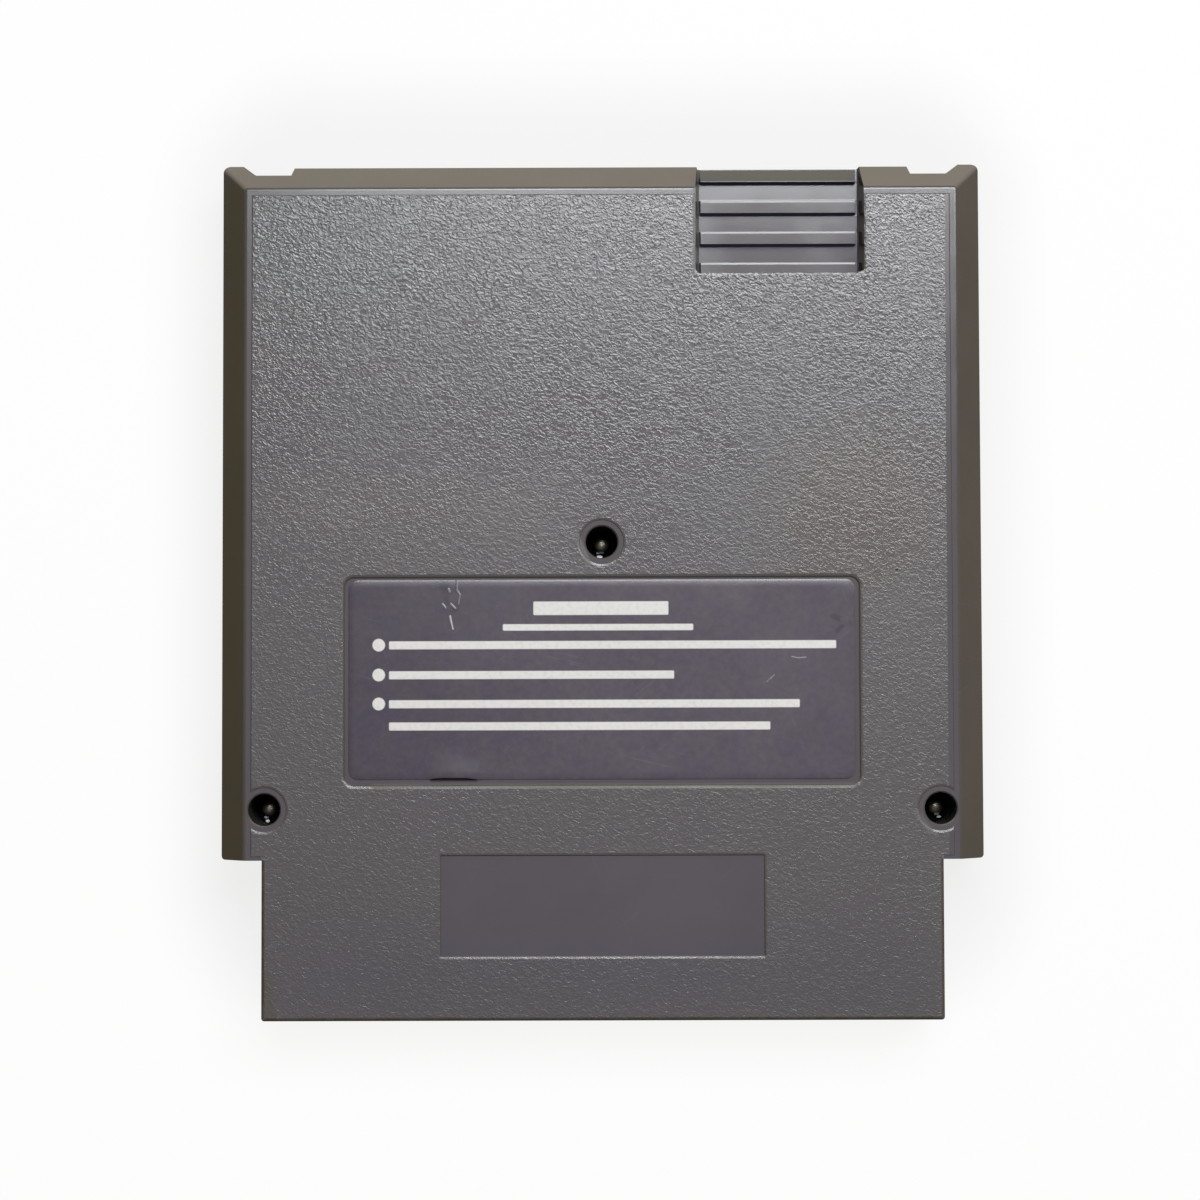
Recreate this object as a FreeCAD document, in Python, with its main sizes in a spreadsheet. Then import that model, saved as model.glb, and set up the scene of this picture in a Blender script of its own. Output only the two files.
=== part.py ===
import FreeCAD, Part
import math
import os
import re

# Game cartridge lying on its front face: X to the right and Y up the rear face, Z out of that face.
# The origin is under the middle of the case, on the plane that the front face rests on.

SIZES = {
    # Case
    "case_width": 119.2,
    "case_height": 134.05,
    "ear_rise": 0.35,
    "side_wall": 2.2,
    "face_wall": 2.2,
    "front_depth": 8.5,
    "front_gap": 5.0,
    "rear_gap": 6.4,
    "rear_slope": 4.1,
    "front_slope": 2.5,
    "border_width": 0.9,
    "border_step": 0.15,
    "top_corner_radius": 1.2,
    "lower_corner_radius": 0.6,
    "edge_radius": 0.6,
    "slope_round": 0.8,
    "edge_bevel": 0.3,
    "edge_drop": 0.055,
    "groove_width": 0.3,
    "groove_depth": 0.35,
    # Neck with the open mouth for the contacts
    "neck_length": 24.8,
    "shoulder_step": 6.7,
    "shoulder_border": 0.65,
    # Rear label and the smooth field below it
    "label_width": 78.8,
    "label_length": 31.0,
    "label_margin": 0.85,
    "label_rise": 11.35,
    "label_thickness": 0.15,
    "label_recess": 0.3,
    "label_corner": 1.5,
    "label_lift": 0.28,
    "bed_corner": 1.7,
    "field_width": 50.3,
    "field_length": 15.7,
    "field_rise": 9.85,
    "field_recess": 0.25,
    "field_corner": 0.25,
    # Finger recess in the rear face and grip channel in the front face
    "grip_centre": 28.0,
    "grip_width": 26.4,
    "grip_length": 17.5,
    "grip_draft": 0.55,
    "grip_end_draft": 0.35,
    "grip_floor": 2.3,
    "grip_wall": 1.8,
    "grip_corner": 0.8,
    "bar_width": 2.15,
    "bar_pitch": 4.935,
    "bar_height": 1.5,
    "bar_draft": 0.2,
    "first_crest": 0.15,
    "bar_setback": 0.1,
    "bar_end_gap": 0.25,
    "channel_depth": 1.2,
    "channel_rib_height": 0.9,
    # Front label, folded over the top edge
    "front_label_width": 56.0,
    "front_label_centre": -18.0,
    "front_label_rise": 17.0,
    "front_label_fold": 6.5,
    # Top snaps
    "notch_inset": 8.05,
    "notch_width": 5.6,
    "notch_inner_flare": 0.5,
    "notch_outer_flare": 2.1,
    "notch_depth": 1.4,
    "notch_relief": 0.5,
    "tab_width": 4.2,
    "tab_thickness": 1.1,
    "tab_root": 4.0,
    "tab_clearance": 0.2,
    "barb_height": 1.3,
    # Screws and the tubes and posts that they clamp
    "screw_bore": 5.0,
    "screw_ring": 6.8,
    "bore_lip": 0.2,
    "tube_wall": 1.2,
    "tube_drop": 2.0,
    "seat_web": 1.7,
    "centre_screw_rise": 49.35,
    "lower_screw_inset": 7.1,
    "lower_screw_rise": 7.85,
    "shank_diameter": 2.6,
    "shank_clearance": 0.1,
    "pilot_depth": 4.1,
    "tip_length": 1.0,
    "tip_diameter": 1.2,
    "tip_clearance": 0.2,
    "flange_diameter": 4.6,
    "flange_height": 0.5,
    "drive_diameter": 3.0,
    "drive_height": 1.7,
    "drive_round": 1.3,
    "drive_lobes": 6,
    "lobe_cut_diameter": 0.7,
    # Circuit board and its contacts
    "board_thickness": 1.2,
    "board_inset": 7.5,
    "board_clearance": 0.2,
    "board_margin": 5.6,
    "bulkhead_thickness": 2.0,
    "rib_thickness": 1.6,
    "rib_gap": 3.0,
    "rib_inner": 14.0,
    "rib_outer_gap": 4.0,
    "rib_clearance": 0.1,
    "contact_pitch": 2.5,
    "contact_width": 1.6,
    "contact_length": 12.0,
    "contact_thickness": 0.1,
    "contact_setback": 0.4,
    "contact_margin": 3.6,
    # Chips and capacitors
    "chip_rise": 4.0,
    "chip_height": 3.4,
    "chip_standoff": 0.35,
    "chip_draft": 0.3,
    "chip_notch": 2.4,
    "chip_end": 1.9,
    "chip_gap": 6.0,
    "pin_pitch": 2.54,
    "pin_width": 1.4,
    "pin_thickness": 0.25,
    "tail_width": 0.5,
    "tail_length": 1.2,
    "pin_hole": 0.8,
    "rom_inset": 14.6,
    "rom_pins": 28,
    "rom_row": 15.24,
    "rom_width": 13.7,
    "lockout_gap": 11.0,
    "lockout_pins": 16,
    "lockout_row": 7.62,
    "lockout_width": 6.3,
    "capacitor_gap": 6.0,
    "capacitor_rise": 18.0,
    "can_diameter": 3.9,
    "can_length": 9.0,
    "seal_length": 1.2,
    "sleeve_wall": 0.15,
    "sleeve_lip": 0.5,
    "lead_diameter": 0.5,
    "lead_spacing": 2.0,
    "lead_bend": 0.9,
    "lead_run": 1.4,
    "bypass_width": 2.2,
    "bypass_length": 4.4,
    "bypass_height": 3.2,
    "bypass_lift": 0.5,
    "bypass_spacing": 2.54,
    "bypass_rise": 15.0,
}

# Cutting tools reach this far past the faces that they cut through.
SPILL = 1.0
# A 45 degree slope set inward by one wall is shorter than the outer slope by this share of the wall.
SLOPE_OFFSET = 2 - math.sqrt(2)

# Places worked out from the driving sizes, written as sheet expressions.
SIDE = "case_width / 2"
EAR = "case_height / 2"
TOP = f"({EAR} - ear_rise)"
MOUTH = "-case_height / 2"
SHOULDER = f"{MOUTH} + neck_length"
NECK_SIDE = f"({SIDE} - shoulder_step)"
REAR = "(2 * face_wall + front_gap + board_thickness + rear_gap)"
BORDER = f"({REAR} - border_step)"
RIM = f"({REAR} - rear_slope)"
CEILING = f"({REAR} - face_wall)"
PARTING = "front_depth"
BOARD_FLOOR = "(face_wall + front_gap)"
BOARD_TOP = f"({BOARD_FLOOR} + board_thickness)"
TUBE_RADIUS = "(screw_bore / 2 + tube_wall)"
TUBE_FOOT = "(front_depth - tube_drop)"
SEAT = f"({TUBE_FOOT} + seat_web)"
LOWER_SCREW_X = f"({SIDE} - lower_screw_inset)"
LOWER_SCREW_Y = f"({SHOULDER} + lower_screw_rise)"
CENTRE_SCREW_Y = f"({SHOULDER} + centre_screw_rise)"
SCREW_PLACES = (
    ("centre", "0", CENTRE_SCREW_Y),
    ("left", f"-{LOWER_SCREW_X}", LOWER_SCREW_Y),
    ("right", LOWER_SCREW_X, LOWER_SCREW_Y),
)
INNER_SLOPE = f"(rear_slope - face_wall * {SLOPE_OFFSET})"
TAB_TOP = f"({CEILING} - {INNER_SLOPE} - tab_clearance)"
SNAP_X = f"({SIDE} - notch_inset)"
SNAP_PLACES = (("left", f"-{SNAP_X}"), ("right", SNAP_X))
GRIP_FLOOR = f"({PARTING} + grip_floor)"
BOARD_SIDE = f"({LOWER_SCREW_X} - {TUBE_RADIUS} - board_clearance)"
BOARD_LOW = f"({MOUTH} + board_inset)"
ROM_LENGTH = "((rom_pins / 2 - 1) * pin_pitch + 2 * chip_end)"
LOCKOUT_LENGTH = "((lockout_pins / 2 - 1) * pin_pitch + 2 * chip_end)"
CHIP_LOW = f"({SHOULDER} + chip_rise)"
RIB_LOW = f"({CHIP_LOW} + {ROM_LENGTH} + rib_gap)"
BOARD_HIGH = f"({RIB_LOW} + rib_thickness + board_margin)"
PROGRAM_X = f"(rom_inset - {BOARD_SIDE})"
GRAPHICS_X = f"({PROGRAM_X} + rom_row + chip_gap)"
LOCKOUT_X = f"({GRAPHICS_X} + rom_row / 2 + lockout_gap + lockout_row / 2)"
CAPACITOR_X = f"({LOCKOUT_X} + lockout_row / 2 + capacitor_gap)"
CAPACITOR_Y = f"({SHOULDER} + capacitor_rise)"
CAPACITOR_Z = f"({BOARD_TOP} + can_diameter / 2 + sleeve_wall)"
BYPASS_PLACES = (
    f"({GRAPHICS_X} - rom_row / 2 - chip_gap / 2)",
    f"({GRAPHICS_X} + rom_row / 2 + lockout_gap / 2)",
)
BYPASS_Y = f"({SHOULDER} + bypass_rise)"

doc = FreeCAD.newDocument("game_cartridge")
sheet = doc.addObject("Spreadsheet::Sheet", "Sizes")
for row, (alias, number) in enumerate(SIZES.items(), start=1):
    sheet.set(f"A{row}", alias)
    sheet.set(f"B{row}", str(number))
    sheet.setAlias(f"B{row}", alias)
doc.recompute()


def bound(text):
    """Sheet expression for a text whose words are size names."""
    return re.sub(r"[a-z]+(?:_[a-z]+)+", lambda word: f"Sizes.{word.group()}", text)


def size(text):
    """Number that a text of size names stands for now."""
    return float(sheet.evalExpression(bound(text)))


def box(name, x, y, z):
    """Block between a low and a high limit on each axis."""
    block = doc.addObject("Part::Box", name)
    for length, axis, (low, high) in zip(("Length", "Width", "Height"), "xyz", (x, y, z)):
        block.setExpression(length, bound(f"({high}) - ({low})"))
        block.setExpression(f"Placement.Base.{axis}", bound(low))
    return block


def cylinder(name, radius, base, height, along="z"):
    """Round bar that starts at a base point and runs along one axis."""
    turns = {
        "x": FreeCAD.Rotation(FreeCAD.Vector(0, 1, 0), 90),
        "y": FreeCAD.Rotation(FreeCAD.Vector(1, 0, 0), -90),
        "z": FreeCAD.Rotation(),
    }
    bar = doc.addObject("Part::Cylinder", name)
    bar.Placement = FreeCAD.Placement(FreeCAD.Vector(), turns[along])
    bar.setExpression("Radius", bound(radius))
    bar.setExpression("Height", bound(height))
    for axis, place in zip("xyz", base):
        bar.setExpression(f"Placement.Base.{axis}", bound(place))
    return bar


def rounded_block(name, x, y, z, radius):
    """Block with its four upright corners rounded."""
    near_x = (f"({x[0]}) + ({radius})", f"({x[1]}) - ({radius})")
    near_y = (f"({y[0]}) + ({radius})", f"({y[1]}) - ({radius})")
    height = f"({z[1]}) - ({z[0]})"
    shapes = [box(f"{name}_long", x, near_y, z), box(f"{name}_wide", near_x, y, z)]
    for column, corner_x in zip(("left", "right"), near_x):
        for level, corner_y in zip(("low", "high"), near_y):
            shapes.append(cylinder(f"{name}_{level}_{column}", radius, (corner_x, corner_y, z[0]), height))
    return union(name, shapes)


def cone(name, base, low_radius, high_radius, height):
    """Upright cone between two radii, from a base point."""
    shape = doc.addObject("Part::Cone", name)
    shape.setExpression("Radius1", bound(low_radius))
    shape.setExpression("Radius2", bound(high_radius))
    shape.setExpression("Height", bound(height))
    for axis, place in zip("xyz", base):
        shape.setExpression(f"Placement.Base.{axis}", bound(place))
    return shape


def frustum(name, low, low_x, low_y, high, high_x, high_y):
    """Block whose four sides lean from one rectangle at a low height to another at a high one."""
    block = doc.addObject("Part::Wedge", name)
    block.Placement = FreeCAD.Placement(FreeCAD.Vector(), FreeCAD.Rotation(FreeCAD.Vector(1, 0, 0), 90))
    limits = {
        "Ymin": low, "Ymax": high,
        "Xmin": low_x[0], "Xmax": low_x[1], "Zmin": f"-({low_y[1]})", "Zmax": f"-({low_y[0]})",
        "X2min": high_x[0], "X2max": high_x[1], "Z2min": f"-({high_y[1]})", "Z2max": f"-({high_y[0]})",
    }
    for name_of_limit, place in limits.items():
        block.setExpression(name_of_limit, bound(place))
    return block


def union(name, shapes):
    """Shapes grown into one."""
    joined = doc.addObject("Part::MultiFuse", name)
    joined.Shapes = shapes
    return joined


def cut(name, base, tools):
    """Base with every tool taken out of it."""
    result = doc.addObject("Part::Cut", name)
    result.Base = base
    result.Tool = tools[0] if len(tools) == 1 else union(f"{name}_tools", tools)
    return result


def common(name, first, second):
    """What two shapes share."""
    shared = doc.addObject("Part::MultiCommon", name)
    shared.Shapes = [first, second]
    return shared


def group(name, shapes):
    """Separate solids kept as one node."""
    gathered = doc.addObject("Part::Compound", name)
    gathered.Links = shapes
    return gathered


def node(piece, name):
    """Finished sub-part under the name of its file."""
    piece.Label = name
    if hasattr(piece, "Refine"):
        piece.Refine = True
    return piece


def round_tool(name, along, run, corner, radius):
    """Tool that rounds an edge: corner gives, for the two other axes, the place and the inward side."""
    limits = {along: run}
    centre = {along: run[0]}
    for axis, (place, inward) in corner.items():
        inner = f"({place}) + ({inward} * ({radius}))"
        outer = f"({place}) - ({inward} * {SPILL})"
        limits[axis] = (outer, inner) if inward > 0 else (inner, outer)
        centre[axis] = inner
    block = box(f"{name}_block", limits["x"], limits["y"], limits["z"])
    length = f"({run[1]}) - ({run[0]})"
    bar = cylinder(f"{name}_bar", radius, (centre["x"], centre["y"], centre["z"]), length, along)
    return cut(name, block, [bar])


def both_sides(place):
    """Limits that lie evenly left and right of the middle."""
    return f"-({place})", place


def around(centre, width):
    """Limits of a width about its centre."""
    return f"({centre}) - ({width}) / 2", f"({centre}) + ({width}) / 2"


def plan_rounds(name, run):
    """Tools that round the upright corners of one shell."""
    tools = []
    for side, inward in (("left", 1), ("right", -1)):
        case_side = f"{-inward} * {SIDE}"
        neck_side = f"{-inward} * {NECK_SIDE}"
        corners = (
            ("top", case_side, EAR, -1, "top_corner_radius"),
            ("shoulder", case_side, SHOULDER, 1, "lower_corner_radius"),
            ("mouth", neck_side, MOUTH, 1, "lower_corner_radius"),
        )
        for place, x, y, inward_y, radius in corners:
            corner = {"x": (x, inward), "y": (y, inward_y)}
            tools.append(round_tool(f"{name}_{place}_{side}", "z", run, corner, radius))
    return tools


def neck_edge_rounds(name, face, inward):
    """Tools that round the neck's edges at the rear or the front face."""
    run_x = (f"-{NECK_SIDE} - {SPILL}", f"{NECK_SIDE} + {SPILL}")
    run_y = (f"{MOUTH} - {SPILL}", SHOULDER)
    mouth = {"y": (MOUTH, 1), "z": (face, inward)}
    left = {"x": (f"-{NECK_SIDE}", 1), "z": (face, inward)}
    right = {"x": (NECK_SIDE, -1), "z": (face, inward)}
    return [
        round_tool(f"{name}_mouth_edge", "x", run_x, mouth, "edge_radius"),
        round_tool(f"{name}_left_edge", "y", run_y, left, "edge_radius"),
        round_tool(f"{name}_right_edge", "y", run_y, right, "edge_radius"),
    ]


def bulkhead(name, low, high):
    """Wall across the neck, in line with the shoulders."""
    return box(name, both_sides(NECK_SIDE), (SHOULDER, f"{SHOULDER} + bulkhead_thickness"), (low, high))


def board_ribs(name, low, high):
    """Pair of ribs that bear on the upper part of the board."""
    limits = ("rib_inner", f"{BOARD_SIDE} - rib_outer_gap")
    run = (RIB_LOW, f"{RIB_LOW} + rib_thickness")
    left = box(f"{name}_left", (f"-({limits[1]})", f"-{limits[0]}"), run, (low, high))
    right = box(f"{name}_right", limits, run, (low, high))
    return [left, right]


def grip_rows(name, length, levels):
    """Bars across a grip, counted down from the top edge of the case.

    Each level is a height, the ends of a bar there and how far the upper side of a bar leans in.
    """
    count = int((size(length) - size("bar_setback + bar_width")) // size("bar_pitch")) + 1
    bars = []
    for place in range(count):
        high = f"{TOP} - bar_setback - {place} * bar_pitch"
        low = f"{high} - bar_width"
        for step, (below, above) in enumerate(zip(levels, levels[1:]), start=1):
            foot, foot_x, foot_lean = below
            head, head_x, head_lean = above
            bars.append(frustum(
                f"{name}_{place + 1}_{step}",
                foot, foot_x, (low, f"{high} - ({foot_lean(place)})"),
                head, head_x, (low, f"{high} - ({head_lean(place)})"),
            ))
    return bars


def upright(place):
    """Lean of a bar whose side stands straight up."""
    return "0"


def bar_lean(place):
    """Lean of a finger bar's upper side below its bevel: the first bar is one long slope."""
    return "bar_draft" if place else "(bar_width - first_crest) * (1 - edge_drop / bar_height)"


def bar_crest_lean(place):
    """Lean of a finger bar's upper side at its crest."""
    return "bar_draft + edge_bevel" if place else "bar_width - first_crest"


def bevelled_rim(name, x, y, corner):
    """Tools for a shallow bevel round the rim of a bed in the rear face, from the bed's outline."""
    inward = "edge_bevel / 2"
    outward = "3 * edge_bevel / 2"
    low = f"{REAR} - 3 * edge_drop / 2"
    high = f"{REAR} + edge_drop / 2"
    core_x = (f"({x[0]}) + {corner}", f"({x[1]}) - {corner}")
    core_y = (f"({y[0]}) + {corner}", f"({y[1]}) - {corner}")
    tools = [
        frustum(
            f"{name}_across",
            low, (f"({x[0]}) + {inward}", f"({x[1]}) - {inward}"), core_y,
            high, (f"({x[0]}) - {outward}", f"({x[1]}) + {outward}"), core_y,
        ),
        frustum(
            f"{name}_along",
            low, core_x, (f"({y[0]}) + {inward}", f"({y[1]}) - {inward}"),
            high, core_x, (f"({y[0]}) - {outward}", f"({y[1]}) + {outward}"),
        ),
    ]
    for column, corner_x in zip(("left", "right"), core_x):
        for row, corner_y in zip(("low", "high"), core_y):
            tools.append(cone(
                f"{name}_{row}_{column}", (corner_x, corner_y, low),
                f"{corner} - {inward}", f"{corner} + {outward}", "2 * edge_drop",
            ))
    return tools


def rounded_edges(name, base, radius, chosen):
    """Base with a round along each edge whose middle point is one of the chosen."""
    doc.recompute()
    result = doc.addObject("Part::Fillet", name)
    result.Base = base
    reach = size(radius)
    result.Edges = [
        (place, reach, reach)
        for place, edge in enumerate(base.Shape.Edges, start=1)
        if chosen(edge.BoundBox.Center)
    ]
    return result


def sloped_walls(name, block, reach):
    """Bed tool whose walls lean outwards by the given reach above the bed."""
    block.Refine = True
    doc.recompute()
    floor = block.Shape.BoundBox.ZMin + Part.Precision.confusion()
    result = doc.addObject("Part::Chamfer", name)
    result.Base = block
    width = size(reach)
    result.Edges = [
        (place, width, width)
        for place, edge in enumerate(block.Shape.Edges, start=1)
        if edge.BoundBox.ZMax < floor
    ]
    return result


def ears(name, upright, slope, low_edge, high_edge):
    """Pads that raise both top corners past the top edge, with the sloped edge running on over them."""
    inner = f"{SNAP_X} + notch_width / 2"
    root = f"{TOP} - side_wall"
    pads = []
    for side, x in (("left", (f"-{SIDE}", f"-({inner})")), ("right", (inner, SIDE))):
        pads.append(box(f"{name}_ear_{side}", x, (root, EAR), upright))
        pads.append(frustum(
            f"{name}_ear_slope_{side}",
            slope[0], x, (root, low_edge),
            slope[1], x, (root, high_edge),
        ))
    return pads


def rear_outer():
    """Outside of the rear shell: sloped on three sides, with a low border round the grained face."""
    lean = "(rear_slope - border_step)"
    plateau_side = f"{SIDE} - rear_slope - border_width"
    band = box("rear_band", both_sides(SIDE), (SHOULDER, TOP), (PARTING, RIM))
    slopes = frustum(
        "rear_slopes",
        RIM, both_sides(SIDE), (SHOULDER, TOP),
        BORDER, both_sides(f"{SIDE} - {lean}"), (SHOULDER, f"{TOP} - {lean}"),
    )
    shoulder = size(SHOULDER)
    rim = size(RIM)
    near = Part.Precision.confusion()
    edges = rounded_edges(
        "rear_slope_edges", slopes, "slope_round",
        lambda middle: middle.z > rim + near and middle.y > shoulder + near,
    )
    plateau_run = (f"{SHOULDER} + shoulder_border", f"{TOP} - rear_slope - border_width")
    plateau = frustum(
        "rear_plateau",
        BORDER, both_sides(plateau_side), plateau_run,
        REAR, both_sides(f"{plateau_side} - border_step"),
        (plateau_run[0], f"{plateau_run[1]} - border_step"),
    )
    neck_run = (MOUTH, f"{SHOULDER} + shoulder_border")
    neck = box("rear_neck", both_sides(NECK_SIDE), neck_run, (PARTING, REAR))
    ear_foot = f"{RIM} - ear_rise"
    pads = ears("rear", (PARTING, ear_foot), (ear_foot, RIM), EAR, TOP)
    return union("rear_outer", [band, edges, plateau, neck] + pads)


def rear_hollow():
    """Space inside the rear shell, less the tubes, ribs and finger recess that stand in it."""
    inner_side = f"{SIDE} - side_wall"
    inner_run = (f"{SHOULDER} + side_wall", f"{TOP} - side_wall")
    knee = f"{CEILING} - {INNER_SLOPE}"
    below = f"{PARTING} - {SPILL}"
    room = union("rear_room", [
        box("rear_room_band", both_sides(inner_side), inner_run, (below, knee)),
        frustum(
            "rear_room_slopes",
            knee, both_sides(inner_side), inner_run,
            CEILING, both_sides(f"{inner_side} - {INNER_SLOPE}"),
            (inner_run[0], f"{inner_run[1]} - {INNER_SLOPE}"),
        ),
        box(
            "rear_room_neck",
            both_sides(f"{NECK_SIDE} - side_wall"),
            (f"{MOUTH} - {SPILL}", f"{inner_run[0]} + {SPILL}"),
            (below, CEILING),
        ),
    ])
    standing = [
        cylinder(f"rear_tube_{name}", TUBE_RADIUS, (x, y, below), f"{REAR} - ({below})")
        for name, x, y in SCREW_PLACES
    ]
    grip_x = around("grip_centre", "grip_width + 2 * grip_wall")
    grip_y = (f"{TOP} - grip_length - grip_wall", f"{TOP} + {SPILL}")
    standing.append(box("grip_block", grip_x, grip_y, (below, REAR)))
    standing.append(bulkhead("rear_bulkhead", f"{BOARD_TOP} + rib_clearance", REAR))
    standing += board_ribs("rear_rib", f"{BOARD_TOP} + rib_clearance", REAR)
    return cut("rear_hollow", room, standing)


def finger_recess():
    """Tools for a drafted well that opens through the top edge, with round corners and a bevelled rim."""
    floor_x = around("grip_centre", "grip_width - 2 * grip_draft")
    floor_y = (f"{TOP} - grip_length + grip_end_draft", f"{TOP} + {SPILL}")
    face_x = around("grip_centre", "grip_width")
    face_y = (f"{TOP} - grip_length", f"{TOP} + {SPILL}")
    well = frustum("finger_well", GRIP_FLOOR, floor_x, floor_y, REAR, face_x, face_y)
    near = Part.Precision.confusion()
    floor = size(GRIP_FLOOR)
    rear = size(REAR)
    top = size(TOP)
    corners = rounded_edges(
        "finger_well_corners", well, "grip_corner",
        lambda middle: floor + near < middle.z < rear - near and middle.y < top,
    )
    return [corners] + bevelled_rim("finger_rim", face_x, face_y, "grip_corner")


def finger_bars():
    """Bars across the floor of the finger recess, each with a bevel along its upper edge."""
    crest = f"{GRIP_FLOOR} + bar_height"
    foot_x = around("grip_centre", "grip_width - 2 * grip_draft - 2 * bar_end_gap")
    head_x = around("grip_centre", "grip_width - 2 * grip_draft - 2 * bar_end_gap - 2 * bar_draft")
    return grip_rows("finger_bar", "grip_length", (
        (GRIP_FLOOR, foot_x, upright),
        (f"{crest} - edge_drop", head_x, bar_lean),
        (crest, head_x, bar_crest_lean),
    ))


def snap_notch(name, side, centre, depth, z):
    """Notch in the top edge whose walls flare, more so towards the corner of the case."""
    floor_x = around(centre, "notch_width")
    flares = ("notch_inner_flare", "notch_outer_flare")
    if side == "left":
        flares = flares[::-1]
    notch = doc.addObject("Part::Wedge", name)
    limits = {
        "Ymin": f"{TOP} - {depth}", "Ymax": EAR,
        "Zmin": z[0], "Zmax": z[1], "Z2min": z[0], "Z2max": z[1],
        "Xmin": floor_x[0], "Xmax": floor_x[1],
        "X2min": f"{floor_x[0]} - {flares[0]}", "X2max": f"{floor_x[1]} + {flares[1]}",
    }
    for name_of_limit, place in limits.items():
        notch.setExpression(name_of_limit, bound(place))
    return notch


def snap_notches():
    """Flared notches in the top edge, each with a window for a barb of the front shell."""
    tools = []
    for side, centre in SNAP_PLACES:
        notch = snap_notch(f"notch_{side}", side, centre, "notch_depth", (PARTING, REAR))
        window = box(
            f"window_{side}",
            around(centre, "tab_width + 2 * tab_clearance"),
            (f"{TOP} - side_wall - tab_clearance", TOP),
            (f"{TAB_TOP} - barb_height - tab_clearance", f"{TAB_TOP} + tab_clearance"),
        )
        tools += [notch, window]
    return tools


def parting_groove():
    """Thin groove round the rear shell where it meets the front shell."""
    run = (PARTING, f"{PARTING} + groove_width")
    reach = union("groove_reach", [
        box("groove_reach_wide", both_sides(SIDE), (SHOULDER, EAR), run),
        box("groove_reach_neck", both_sides(NECK_SIDE), (MOUTH, SHOULDER), run),
    ])
    inner_side = f"{SIDE} - groove_depth"
    inner_run = (f"{SHOULDER} + groove_depth", f"{TOP} - groove_depth")
    neck_side = f"{NECK_SIDE} - groove_depth"
    core = union("groove_core", [
        rounded_block("groove_core_wide", both_sides(inner_side), inner_run, run, "top_corner_radius"),
        box("groove_core_neck", both_sides(neck_side), (MOUTH, f"{SHOULDER} + side_wall"), run),
    ])
    return cut("parting_groove", reach, [core])


def rear_shell():
    """Rear half of the case with its screw tubes, recesses and finger grip."""
    walls = cut("rear_walls", rear_outer(), [rear_hollow()])
    feet = [
        cylinder(f"rear_foot_{name}", TUBE_RADIUS, (x, y, TUBE_FOOT), f"{PARTING} - {TUBE_FOOT}")
        for name, x, y in SCREW_PLACES
    ]
    moulding = union("rear_moulding", [walls] + feet)
    tools = finger_recess()
    for name, x, y in SCREW_PLACES:
        above = f"{REAR} + {SPILL}"
        bore = "screw_bore / 2"
        ring = "screw_ring / 2"
        ring_wall = f"{ring} + border_step - edge_drop"
        lip_base = (x, y, f"{BORDER} - bore_lip")
        tools += [
            cylinder(f"screw_bore_{name}", bore, (x, y, SEAT), f"{above} - {SEAT}"),
            cone(f"bore_lip_{name}", lip_base, bore, f"{bore} + bore_lip", "bore_lip"),
            cone(f"screw_ring_{name}", (x, y, BORDER), ring, f"{ring} + border_step", "border_step"),
            cone(
                f"screw_ring_rim_{name}", (x, y, f"{REAR} - 3 * edge_drop / 2"),
                f"{ring_wall} - edge_bevel / 2", f"{ring_wall} + 3 * edge_bevel / 2", "2 * edge_drop",
            ),
            cylinder(
                f"shank_hole_{name}",
                "shank_diameter / 2 + shank_clearance",
                (x, y, f"{TUBE_FOOT} - {SPILL}"),
                f"seat_web + 2 * {SPILL}",
            ),
        ]
    label_low = f"{SHOULDER} + label_rise"
    label_run = (label_low, f"{label_low} + label_length + 2 * label_margin")
    label_side = "label_width / 2 + label_margin"
    label_depth = (f"{REAR} - label_recess", f"{REAR} + {SPILL}")
    label_bed = rounded_block("label_bed", both_sides(label_side), label_run, label_depth, "bed_corner")
    field_low = f"{MOUTH} + field_rise"
    field_run = (field_low, f"{field_low} + field_length")
    field_depth = (f"{REAR} - field_recess", f"{REAR} + {SPILL}")
    field_x = both_sides("field_width / 2")
    field_bed = rounded_block("field_bed", field_x, field_run, field_depth, "field_corner")
    tools.append(sloped_walls("label_bed_walls", label_bed, "label_recess"))
    tools.append(sloped_walls("field_bed_walls", field_bed, "field_recess / 2"))
    tools += bevelled_rim("label_rim", both_sides(label_side), label_run, "bed_corner")
    tools += bevelled_rim("field_rim", field_x, field_run, "field_corner")
    tools.append(parting_groove())
    tools += snap_notches()
    tools += plan_rounds("rear", (f"{PARTING} - {SPILL}", f"{REAR} + {SPILL}"))
    tools += neck_edge_rounds("rear", REAR, -1)
    bare = cut("rear_bare", moulding, tools)
    return node(union("rear_shell_solid", [bare] + finger_bars()), "rear_shell")


def front_form(name, inset):
    """Outside of the front shell's wide part, set inward by an even amount."""
    slope = f"(front_slope - ({inset}) * {SLOPE_OFFSET})"
    side = f"{SIDE} - ({inset})"
    high = f"{TOP} - ({inset})"
    knee = f"({inset}) + {slope}"
    return union(name, [
        frustum(
            f"{name}_slopes",
            inset, both_sides(f"{side} - {slope}"), (SHOULDER, f"{high} - {slope}"),
            knee, both_sides(side), (SHOULDER, high),
        ),
        box(f"{name}_band", both_sides(side), (SHOULDER, high), (knee, PARTING)),
    ])


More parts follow.
